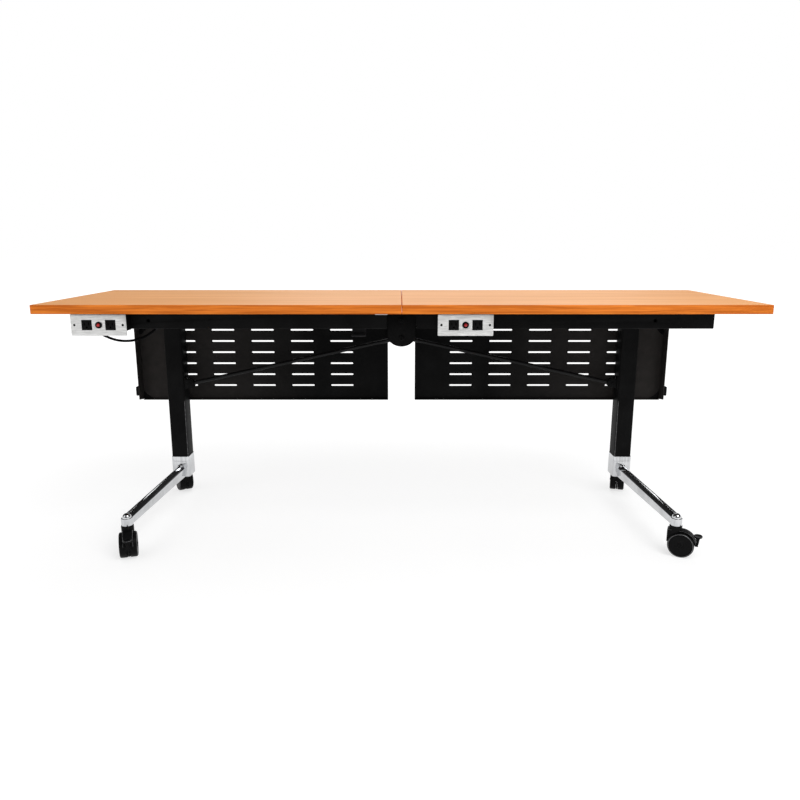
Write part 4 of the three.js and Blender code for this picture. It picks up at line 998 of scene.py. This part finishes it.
class TABLE_OT_centre(bpy.types.Operator):
    """Make the hub's plates and bolts and the two struts"""

    bl_idname = "table.centre"
    bl_label = "Hub and struts"

    def execute(self, context):
        for name in ("hub_front_plate", "hub_rear_plate"):
            lo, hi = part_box(name)
            half, radius = hi[0], sizes().hub_radius
            shoulder = math.acos(half / radius)
            angles = [math.pi + shoulder + (math.pi - 2 * shoulder) * step / 36 for step in range(37)]
            bow = [(radius * math.cos(a), lo[2] + radius + radius * math.sin(a)) for a in angles]
            outline = [(half, hi[2]), (-half, hi[2]), *bow]
            bm = bmesh.new()
            loft(bm, [[(x, y, z) for x, z in outline] for y in (hi[1], lo[1])])
            data = softened(closed_up(bm), sizes().steel_edge)
            finishes = [slot_finish(SLOT_OF[name])]
            piece(name + "_shaped", data, finishes, BODY_OF[name], [name])
        for name in ("hub_bolt_upper", "hub_bolt_lower"):
            self.bolt(name)
        for hand, side in SIDES:
            self.strut("strut_" + hand, side)
        return {"FINISHED"}

    def bolt(self, name):
        lo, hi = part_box(name)
        centre = middle(lo, hi)
        radius = (hi[2] - lo[2]) / 2
        head = 0.006
        place = facing((centre.x, lo[1] + head, centre.z), (0, -1, 0))
        bm = bmesh.new()
        dome = [(radius * math.cos(math.radians(a)), 0.0025 + 0.0035 * math.sin(math.radians(a))) for a in range(0, 61, 12)]
        hex_bore = [(0.0042, 0.0055), (0.0038, 0.0032), (0, 0.003)]
        turned(bm, [(0, 0), (radius, 0), *dome, *hex_bore], place)
        back = facing((centre.x, hi[1] - head, centre.z), (0, 1, 0))
        turned(bm, [(0, 0), (radius, 0), (radius, 0.0045), (0.85 * radius, 0.0058), (0.005, 0.006), (0, 0.006)], back, steps=6)
        shank = [(0, 0), (0.005, 0), (0.005, hi[1] - lo[1] - 2 * head), (0, hi[1] - lo[1] - 2 * head)]
        turned(bm, shank, facing((centre.x, lo[1] + head, centre.z), (0, 1, 0)), steps=24)
        stand_in(name, bm)

    def strut(self, name, side):
        lo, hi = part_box(name)
        eye, rod, thick = 0.011, 0.0069, hi[1] - lo[1]
        outer = lo[0] if side < 0 else hi[0]
        y = (lo[1] + hi[1]) / 2
        foot = Vector((outer - side * eye, y, lo[2] + eye))
        head = Vector((0, y, hi[2] - eye))
        bm = bmesh.new()
        half, soft = thick / 2, 0.0008
        for spot in (foot, head):
            profile = [(0.0053, -half), (eye - soft, -half), (eye, soft - half), (eye, half - soft), (eye - soft, half)]
            turned(bm, [*profile, (0.0053, half)], facing(spot, (0, 1, 0)), True)
        along = (head - foot).normalized()
        length = (head - foot).length - 0.014
        turned(bm, [(0, 0), (rod, 0), (rod, length), (0, length)], facing(foot + 0.007 * along, along), steps=32)
        stand_in(name, bm, [finish("gloss_coat", gloss_coat)])


def tree_of(name, *inputs):
    """A Geometry Nodes tree with a geometry input and output and further named inputs of (name, kind)."""
    tree = bpy.data.node_groups.new(name, "GeometryNodeTree")
    for label, kind in (("Geometry", "Geometry"), *inputs):
        tree.interface.new_socket(label, in_out="INPUT", socket_type="NodeSocket" + kind)
    tree.interface.new_socket("Geometry", in_out="OUTPUT", socket_type="NodeSocketGeometry")
    return tree, tree.nodes.new("NodeGroupInput").outputs


def output(tree, geometry, material):
    """Ends a tree in realized instances with their material."""
    real = add(tree, "GeometryNodeRealizeInstances", {"Geometry": geometry}).outputs[0]
    painted = add(tree, "GeometryNodeSetMaterial", {"Geometry": real, "Material": material}).outputs[0]
    tree.links.new(painted, tree.nodes.new("NodeGroupOutput").inputs[0])


def grown(data, tree, values):
    """The plain mesh that a tree makes from data with its inputs set."""

    def settle(holder):
        modifier = holder.modifiers.new(tree.name, "NODES")
        modifier.node_group = tree
        for item in tree.interface.items_tree:
            if item.in_out == "INPUT" and item.name in values:
                modifier[item.identifier] = values[item.name]
        return modifier

    return made_real(data, tree.name, settle)


def slot_tree():
    """Cuts a grid of round-ended slots through a panel that stands in the XZ plane."""
    floats = ("Slot Length", "Slot Width", "Wide", "Tall", "Cut Depth")
    inputs = [(name, "Float") for name in floats]
    inputs += [("Columns", "Int"), ("Rows", "Int"), ("Centre", "Vector"), ("Finish", "Material")]
    tree, given = tree_of("panel_slots", *inputs)
    outline = add(
        tree, "GeometryNodeCurvePrimitiveQuadrilateral", {"Width": given["Slot Length"], "Height": given["Slot Width"]}
    ).outputs[0]
    radius = maths(tree, "MULTIPLY", given["Slot Width"], 0.499)
    rounded = add(
        tree, "GeometryNodeFilletCurve", {"Curve": outline, "Radius": radius, "Count": 6}, mode="POLY"
    ).outputs[0]
    face = add(tree, "GeometryNodeFillCurve", {"Curve": rounded}, mode="NGONS").outputs[0]
    push = add(tree, "GeometryNodeExtrudeMesh", {"Mesh": face, "Offset Scale": given["Cut Depth"], "Individual": False})
    under = add(tree, "GeometryNodeFlipFaces", {"Mesh": face}).outputs[0]
    both = add(tree, "GeometryNodeJoinGeometry")
    tree.links.new(push.outputs[0], both.inputs[0])
    tree.links.new(under, both.inputs[0])
    prism = add(tree, "GeometryNodeMergeByDistance", {"Geometry": both.outputs[0], "Distance": 1e-6}).outputs[0]
    back = maths(tree, "MULTIPLY", given["Cut Depth"], -0.5)
    sink = add(tree, "ShaderNodeCombineXYZ", {"Z": back}).outputs[0]
    cutter = add(tree, "GeometryNodeTransform", {"Geometry": prism, "Translation": sink}).outputs[0]
    grid = add(
        tree,
        "GeometryNodeMeshGrid",
        {"Size X": given["Wide"], "Size Y": given["Tall"], "Vertices X": given["Columns"], "Vertices Y": given["Rows"]},
    ).outputs[0]
    copies = add(tree, "GeometryNodeInstanceOnPoints", {"Points": grid, "Instance": cutter}).outputs[0]
    settings = {"Geometry": copies, "Translation": given["Centre"], "Rotation": (math.pi / 2, 0, 0)}
    stood = add(tree, "GeometryNodeTransform", settings).outputs[0]
    tools = add(tree, "GeometryNodeRealizeInstances", {"Geometry": stood}).outputs[0]
    cut = add(tree, "GeometryNodeMeshBoolean", {"Mesh 1": given["Geometry"]}, operation="DIFFERENCE", solver="EXACT")
    tree.links.new(tools, cut.inputs["Mesh 2"])
    cut.inputs["Self Intersection"].default_value = True
    output(tree, cut.outputs[0], given["Finish"])
    return tree


def panel_blank(lo, hi, side):
    """A sheet with a flange folded forward at its outer end and a lip along its foot."""
    sheet, flange, lip, bend = sizes().sheet, sizes().flange, sizes().lip, sizes().bend
    outer, inner = (hi[0], lo[0]) if side > 0 else (lo[0], hi[0])
    back = hi[1]
    fold = [math.pi / 2 * step / 6 for step in range(7)]
    outside = [(outer - side * bend * (1 - math.sin(a)), back - bend * (1 - math.cos(a))) for a in fold]
    tight = bend - sheet
    inside = [(outer - side * (sheet + tight * (1 - math.sin(a))), back - sheet - tight * (1 - math.cos(a))) for a in fold]
    front = lo[1]
    plan = [(inner, back), *outside, (outer, front), (outer - side * sheet, front), *reversed(inside)]
    plan.append((inner, back - sheet))
    if side > 0:
        plan.reverse()
    bm = bmesh.new()
    loft(bm, [[(x, y, z) for x, y in plan] for z in (lo[2], hi[2])])
    for vert in bm.verts:
        if vert.co.z < lo[2] + 1e-6 and vert.co.y < back - bend:
            vert.co.z += sizes().flange_cut * (back - vert.co.y) / (back - front)
    foot = [(back - 0.5 * sheet, lo[2]), (back - sheet - lip, lo[2]), (back - sheet - lip, lo[2] + sheet)]
    foot.append((back - 0.5 * sheet, lo[2] + sheet))
    ends = (inner + side * 0.0005, outer - side * bend)
    loft(bm, [[(x, y, z) for y, z in foot] for x in ends])
    return closed_up(bm)


def corner_gussets(hand, side):
    """Dark plates in front of a panel's two outer corners, the lower one with a hollow edge: painted shade where the
    corners fall dark.
    """
    lo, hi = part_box("panel_" + hand)
    outer = hi[0] if side > 0 else lo[0]
    size, sheet, gap = sizes().gusset, sizes().sheet, sizes().seat_gap
    front, inset = hi[1] - sheet - gap, sheet + gap
    sweep = [math.pi / 2 * step / 8 for step in range(9)]
    lower = (lo[2] + sheet + gap, size, 0.75 * size, 0.75)
    upper = (hi[2], 0.85 * size, -1.05 * size, 0.4)
    bm = bmesh.new()
    for level, wide, tall, swell in (lower, upper):
        bow = [(wide * (1 - math.sin(a)) ** swell, tall * (1 - math.cos(a)) ** swell) for a in sweep]
        outline = [(outer - side * (inset + u), level + v) for u, v in [(0, 0), *bow]]
        loft(bm, [[(x, y, z) for x, z in outline] for y in (front, front - sheet)])
    data = softened(closed_up(bm), sizes().steel_edge / 2)
    piece("panel_gussets_" + hand, data, [slot_finish("black_paint")], "frame")


class TABLE_OT_panels(bpy.types.Operator):
    """Make the folded modesty panels and cut their slots"""

    bl_idname = "table.panels"
    bl_label = "Modesty panels"

    def execute(self, context):
        tree = slot_tree()
        for hand, side in SIDES:
            name = "panel_" + hand
            lo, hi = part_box(name)
            inner, outer = (lo[0], hi[0]) if side > 0 else (hi[0], lo[0])
            first = inner + side * sizes().slot_inner
            last = outer - side * sizes().slot_outer
            low, high = lo[2] + sizes().slot_foot, hi[2] - sizes().slot_head
            data = bpy.data.meshes.new(name)
            bm = panel_blank(lo, hi, side)
            bm.to_mesh(data)
            bm.free()
            values = {
                "Slot Length": sizes().slot_length,
                "Slot Width": sizes().slot_width,
                "Wide": abs(last - first),
                "Tall": high - low,
                "Cut Depth": 0.02,
                "Columns": sizes().slot_columns,
                "Rows": sizes().slot_rows,
                "Centre": ((first + last) / 2, hi[1] - sizes().sheet / 2, (low + high) / 2),
                "Finish": finish("panel_coat", panel_coat),
            }
            made = grown(data, tree, values)
            piece(name + "_shaped", made, [values["Finish"]], BODY_OF[name], [name])
            corner_gussets(hand, side)
        return {"FINISHED"}


def screw_tree():
    """Stands a cross-recessed pan head on every point, looking along the point's facing."""
    tree, given = tree_of("pan_heads", ("Head", "Float"), ("Finish", "Material"))
    head = given["Head"]
    radius = maths(tree, "MULTIPLY", head, 0.5)
    height = maths(tree, "MULTIPLY", head, 0.36)
    drum = add(
        tree,
        "GeometryNodeMeshCylinder",
        {"Vertices": 24, "Side Segments": 2, "Fill Segments": 4, "Radius": radius, "Depth": height},
    ).outputs[0]
    spot = add(tree, "GeometryNodeInputPosition").outputs[0]
    parts = add(tree, "ShaderNodeSeparateXYZ", {"Vector": spot}).outputs
    flat = add(tree, "ShaderNodeCombineXYZ", {"X": parts["X"], "Y": parts["Y"]}).outputs[0]
    away = add(tree, "ShaderNodeVectorMath", {0: flat}, operation="LENGTH").outputs["Value"]
    share = maths(tree, "POWER", maths(tree, "DIVIDE", away, radius), 3.0)
    fall = maths(tree, "MULTIPLY", maths(tree, "MULTIPLY", share, height), -0.55)
    upper = maths(tree, "GREATER_THAN", parts["Z"], 1e-5)
    drop = add(tree, "ShaderNodeCombineXYZ", {"Z": maths(tree, "MULTIPLY", fall, upper)}).outputs[0]
    domed = add(tree, "GeometryNodeSetPosition", {"Geometry": drum, "Offset": drop}).outputs[0]
    bars = []
    for wide, deep in ((0.56, 0.13), (0.13, 0.56)):
        size = add(
            tree,
            "ShaderNodeCombineXYZ",
            {"X": maths(tree, "MULTIPLY", head, wide), "Y": maths(tree, "MULTIPLY", head, deep), "Z": height},
        ).outputs[0]
        cube = add(tree, "GeometryNodeMeshCube", {"Size": size}).outputs[0]
        lift = add(tree, "ShaderNodeCombineXYZ", {"Z": maths(tree, "MULTIPLY", height, 0.62)}).outputs[0]
        bars.append(add(tree, "GeometryNodeTransform", {"Geometry": cube, "Translation": lift}).outputs[0])
    cut = add(tree, "GeometryNodeMeshBoolean", {"Mesh 1": domed}, operation="DIFFERENCE", solver="EXACT")
    for bar in bars:
        tree.links.new(bar, cut.inputs["Mesh 2"])
    look = add(tree, "GeometryNodeInputNamedAttribute", {"Name": "facing"}, data_type="FLOAT_VECTOR").outputs[0]
    turn = add(tree, "FunctionNodeAlignRotationToVector", {"Vector": look}, axis="Z").outputs[0]
    settings = {"Points": given["Geometry"], "Instance": cut.outputs[0], "Rotation": turn}
    copies = add(tree, "GeometryNodeInstanceOnPoints", settings).outputs[0]
    output(tree, copies, given["Finish"])
    return tree


def screw_places():
    """Places and facings of the screws, by the body or plate that they hold."""
    found = {"frame": [], "top_left": [], "top_right": [], "plate_left": [], "plate_right": []}
    for hand, side in SIDES:
        top = found["top_" + hand]
        lo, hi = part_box("power_plate_" + hand)
        level = (lo[2] + hi[2]) / 2
        for x in (lo[0] + 0.01, hi[0] - 0.01):
            found["plate_" + hand].append(((x, lo[1], level), (0, -1, 0)))
        lo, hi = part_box("flip_bracket_" + hand)
        centre = (lo[0] + hi[0]) / 2
        under = hi[2] - 0.003
        column = middle(*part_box("column_" + hand))
        for y in (lo[1] + 0.012, lo[1] + 0.028, column.y - 0.036):
            for x in (centre - 0.022, centre + 0.022):
                top.append(((x, y, under), (0, 0, -1)))
        lo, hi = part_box("panel_spacer_" + hand)
        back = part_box("panel_" + hand)[1][1]
        for z in (lo[2] + 0.02, hi[2] - 0.02):
            found["frame"].append((((lo[0] + hi[0]) / 2, back, z), (0, 1, 0)))
        lo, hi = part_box("strut_bracket_" + hand)
        root = hi[0] - 0.004 if side > 0 else lo[0] + 0.004
        mid = (lo[1] + hi[1]) / 2
        for z in (lo[2] + 0.006, hi[2] - 0.006):
            found["frame"].append(((root, mid, z), (-side, 0, 0)))
    lo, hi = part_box("seam_plate")
    for x in (lo[0] + 0.009, hi[0] - 0.009):
        found["top_left"].append(((x, (lo[1] + hi[1]) / 2 + 0.004, hi[2] - 0.003), (0, 0, -1)))
    return found


class TABLE_OT_screws(bpy.types.Operator):
    """Set the pan head screws"""

    bl_idname = "table.screws"
    bl_label = "Screws"

    def execute(self, context):
        tree = screw_tree()
        for group, places in screw_places().items():
            body = group.replace("plate", "top")
            slot = "dark_steel" if group.startswith("plate") else "zinc_steel"
            bm = bmesh.new()
            layer = bm.verts.layers.float_vector.new("facing")
            for spot, look in places:
                bm.verts.new(spot)[layer] = look
            data = bpy.data.meshes.new("screws")
            bm.to_mesh(data)
            bm.free()
            made = grown(data, tree, {"Head": sizes().screw_head, "Finish": slot_finish(slot)})
            piece("screws_" + group, made, [slot_finish(slot)], body)
        return {"FINISHED"}


class TABLE_OT_modules(bpy.types.Operator):
    """Make the power modules: plate, housing, outlets, collar and reset button"""

    bl_idname = "table.modules"
    bl_label = "Power modules"

    def execute(self, context):
        for hand, side in SIDES:
            self.plate("power_plate_" + hand)
            eased("power_housing_" + hand, sizes().plastic_edge)
            eased("outlet_insert_" + hand, 0.0006)
            lo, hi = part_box("breaker_collar_" + hand)
            centre = middle(lo, hi)
            radius, deep = (hi[2] - lo[2]) / 2, hi[1] - lo[1]
            place = facing((centre.x, hi[1], centre.z), (0, -1, 0))
            bm = bmesh.new()
            bore = sizes().button / 2 + 0.0004
            shape = [(bore, 0), (radius, 0), (radius, deep - 0.001), (radius - 0.0004, deep - 0.0003)]
            shape += [(radius - 0.0012, deep), (bore + 0.0012, deep), (bore + 0.0003, deep - 0.0004), (bore, deep - 0.0014)]
            turned(bm, shape, place, True)
            stand_in("breaker_collar_" + hand, bm)
            lo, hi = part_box("reset_button_" + hand)
            radius, deep = (hi[2] - lo[2]) / 2, hi[1] - lo[1]
            place = facing((centre.x, hi[1], centre.z), (0, -1, 0))
            crown = [
                (radius * math.cos(math.radians(a)), deep - 0.002 + 0.002 * math.sin(math.radians(a)))
                for a in range(0, 91, 15)
            ]
            bm = bmesh.new()
            turned(bm, [(0, 0), (radius, 0), *crown], place)
            stand_in("reset_button_" + hand, bm)
        return {"FINISHED"}


    def plate(self, name):
        """Rounds a face plate's four corners, then all its edges."""
        lo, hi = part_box(name)
        bm = from_node(name)

        def cornered(vert):
            ends = ((vert.co.x, lo[0], hi[0]), (vert.co.z, lo[2], hi[2]))
            return all(min(abs(value - low), abs(value - high)) < 1e-5 for value, low, high in ends)

        corners = [
            edge
            for edge in bm.edges
            if all(cornered(vert) for vert in edge.verts) and edge.calc_length() < hi[1] - lo[1] + 1e-5
        ]
        bmesh.ops.bevel(bm, geom=corners, offset=sizes().plate_corner, segments=4, profile=0.5, affect="EDGES")
        data = softened(bm, 0.0004)
        piece(name + "_shaped", data, [slot_finish(SLOT_OF[name])], BODY_OF[name], [name])


class TABLE_OT_steel(bpy.types.Operator):
    """Round the edges of the rails, brackets, beams and other small pieces"""

    bl_idname = "table.steel"
    bl_label = "Rails and small pieces"

    def execute(self, context):
        for hand, side in SIDES:
            for name in ("column_head", "flip_bracket", "strut_bracket", "panel_spacer", "pivot_pin"):
                eased(name + "_" + hand, sizes().steel_edge)
            eased("release_lever_" + hand, sizes().steel_edge, material=finish("lever_coat", lever_coat))
            eased("panel_bumper_" + hand, 0.002, 3)
            for name in ("rail_", "rear_beam_"):
                self.tube(name + hand)
        eased("seam_plate", sizes().steel_edge)
        return {"FINISHED"}

    def tube(self, name):
        """Rounds a tube's long outer edges first, then the rest."""
        lo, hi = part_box(name)
        bm = from_node(name)
        depth = self.depth(name, lo)
        long = [
            edge
            for edge in bm.edges
            if edge.calc_length() > 0.3
            and all(abs(v.co.z - lo[2]) < 1e-4 or abs(v.co.z - hi[2]) < 1e-4 for v in edge.verts)
            and all(min(abs(v.co.y - lo[1]), abs(v.co.y - lo[1] - depth)) < 1e-4 for v in edge.verts)
        ]
        bmesh.ops.bevel(bm, geom=long, offset=sizes().tube_corner, segments=4, profile=0.5, affect="EDGES")
        data = softened(bm, 0.0005)
        piece(name + "_shaped", data, [slot_finish(SLOT_OF[name])], BODY_OF[name], [name])

    def depth(self, name, lo):
        return 0.03


def smooth_route(points, steps=12):
    """Places along a smooth curve through points, each with its direction."""
    found = []
    padded = [points[0], *points, points[-1]]
    for a, b, c, d in zip(padded, padded[1:], padded[2:], padded[3:]):
        a, b, c, d = (Vector(place) for place in (a, b, c, d))
        for step in range(steps):
            u = step / steps
            lean = (c - a) / 2 * (u**3 - 2 * u**2 + u) + (d - b) / 2 * (u**3 - u**2)
            found.append(b * (2 * u**3 - 3 * u**2 + 1) + c * (3 * u**2 - 2 * u**3) + lean)
    return [(place, (after - place).normalized()) for place, after in zip(found, found[1:])]


class TABLE_OT_lead(bpy.types.Operator):
    """Make the lead that runs from the left module into the left rail"""

    bl_idname = "table.lead"
    bl_label = "Lead"

    def execute(self, context):
        curve = bpy.data.curves.new("lead", "CURVE")
        curve.dimensions = "3D"
        curve.resolution_u = 8
        curve.bevel_depth = sizes().lead / 2
        curve.bevel_resolution = 4
        curve.use_fill_caps = True
        spline = curve.splines.new("BEZIER")
        spline.bezier_points.add(len(LEAD_ROUTE) - 1)
        for knot, place in zip(spline.bezier_points, LEAD_ROUTE):
            knot.co = place
            knot.handle_left_type = knot.handle_right_type = "AUTO"
        curve.materials.append(slot_finish("cable"))
        lead = bpy.data.objects.new("lead", curve)
        context.scene.collection.objects.link(lead)
        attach(lead, BODY_OF["module_lead"])
        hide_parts("module_lead")
        self.relief()
        self.bush()
        return {"FINISHED"}

    def relief(self):
        """A ribbed, tapered sleeve on the lead, below the module's housing."""
        bore = sizes().lead / 2 + 0.0002
        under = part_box("power_housing_left")[0][2] - sizes().seat_gap
        angles = [math.tau * step / 24 for step in range(24)]
        outer, inner, run, before = [], [], 0.0, None
        for place, along in smooth_route(LEAD_ROUTE):
            if place.z > under:
                continue
            run += (place - before).length if before else 0.0
            before = place
            if run > sizes().relief:
                break
            share = run / sizes().relief
            rib = 0.0002 if int(run / 0.0018) % 2 else 0.0
            wall = 0.0021 if run < 0.0016 else 0.0014 - 0.0009 * share - rib
            level = along.cross(Vector((0, 1, 0))).normalized()
            side = level.cross(along)
            around = [math.cos(a) * level + math.sin(a) * side for a in angles]
            outer.append([place + (bore + wall) * out for out in around])
            inner.append([place + bore * out for out in around])
        bm = bmesh.new()
        loft(bm, outer + inner[::-1], closed=True)
        piece("lead_relief", closed_up(bm), [slot_finish("black_plastic")], "top_left")

    def bush(self):
        """A rubber bead round the lead where it enters the rail."""
        bore, bead = sizes().lead / 2 + 0.0002, 0.002
        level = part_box("rail_left")[0][2]
        place, along = [step for step in smooth_route(LEAD_ROUTE) if step[0].z < level][-1]
        sweep = [math.pi * (step / 8 - 0.5) for step in range(9)]
        profile = [(bore + bead * math.cos(a), bead * math.sin(a)) for a in sweep]
        bm = bmesh.new()
        turned(bm, profile, facing(place, along), True, 24)
        piece("lead_bush", closed_up(bm), [slot_finish("black_plastic")], "top_left")


class TABLE_OT_carried(bpy.types.Operator):
    """Give every shown frame node its finish"""

    bl_idname = "table.carried"
    bl_label = "Carried nodes"

    def execute(self, context):
        for name, made in frame["nodes"].items():
            made.data.materials.clear()
            made.data.materials.append(slot_finish(SLOT_OF[name]))
        return {"FINISHED"}


class TABLE_PT_sidebar(bpy.types.Panel):
    """Sidebar list of the steps"""

    bl_idname = "TABLE_PT_sidebar"
    bl_label = "Training table"
    bl_space_type = "VIEW_3D"
    bl_region_type = "UI"
    bl_category = "Table"

    def draw(self, context):
        for step in STEPS:
            self.layout.operator(step.bl_idname)


GROUPS = (TableSizes, TableColours, StageSizes)
STEPS = (
    TABLE_OT_stage,
    TABLE_OT_lead,
    TABLE_OT_carried,
    TABLE_OT_tops,
    TABLE_OT_columns,
    TABLE_OT_feet,
    TABLE_OT_casters,
    TABLE_OT_centre,
    TABLE_OT_panels,
    TABLE_OT_modules,
    TABLE_OT_steel,
    TABLE_OT_screws,
)


def register():
    for made in (*GROUPS, *STEPS, TABLE_PT_sidebar):
        bpy.utils.register_class(made)
    bpy.types.Scene.table_sizes = PointerProperty(type=TableSizes)
    bpy.types.Scene.table_colours = PointerProperty(type=TableColours)
    bpy.types.Scene.table_stage = PointerProperty(type=StageSizes)


def unregister():
    del bpy.types.Scene.table_stage, bpy.types.Scene.table_colours, bpy.types.Scene.table_sizes
    for made in reversed((*GROUPS, *STEPS, TABLE_PT_sidebar)):
        bpy.utils.unregister_class(made)


def main():
    register()
    for step in STEPS:
        group, name = step.bl_idname.split(".")
        getattr(getattr(bpy.ops, group), name)()


if __name__ == "__main__":
    main()
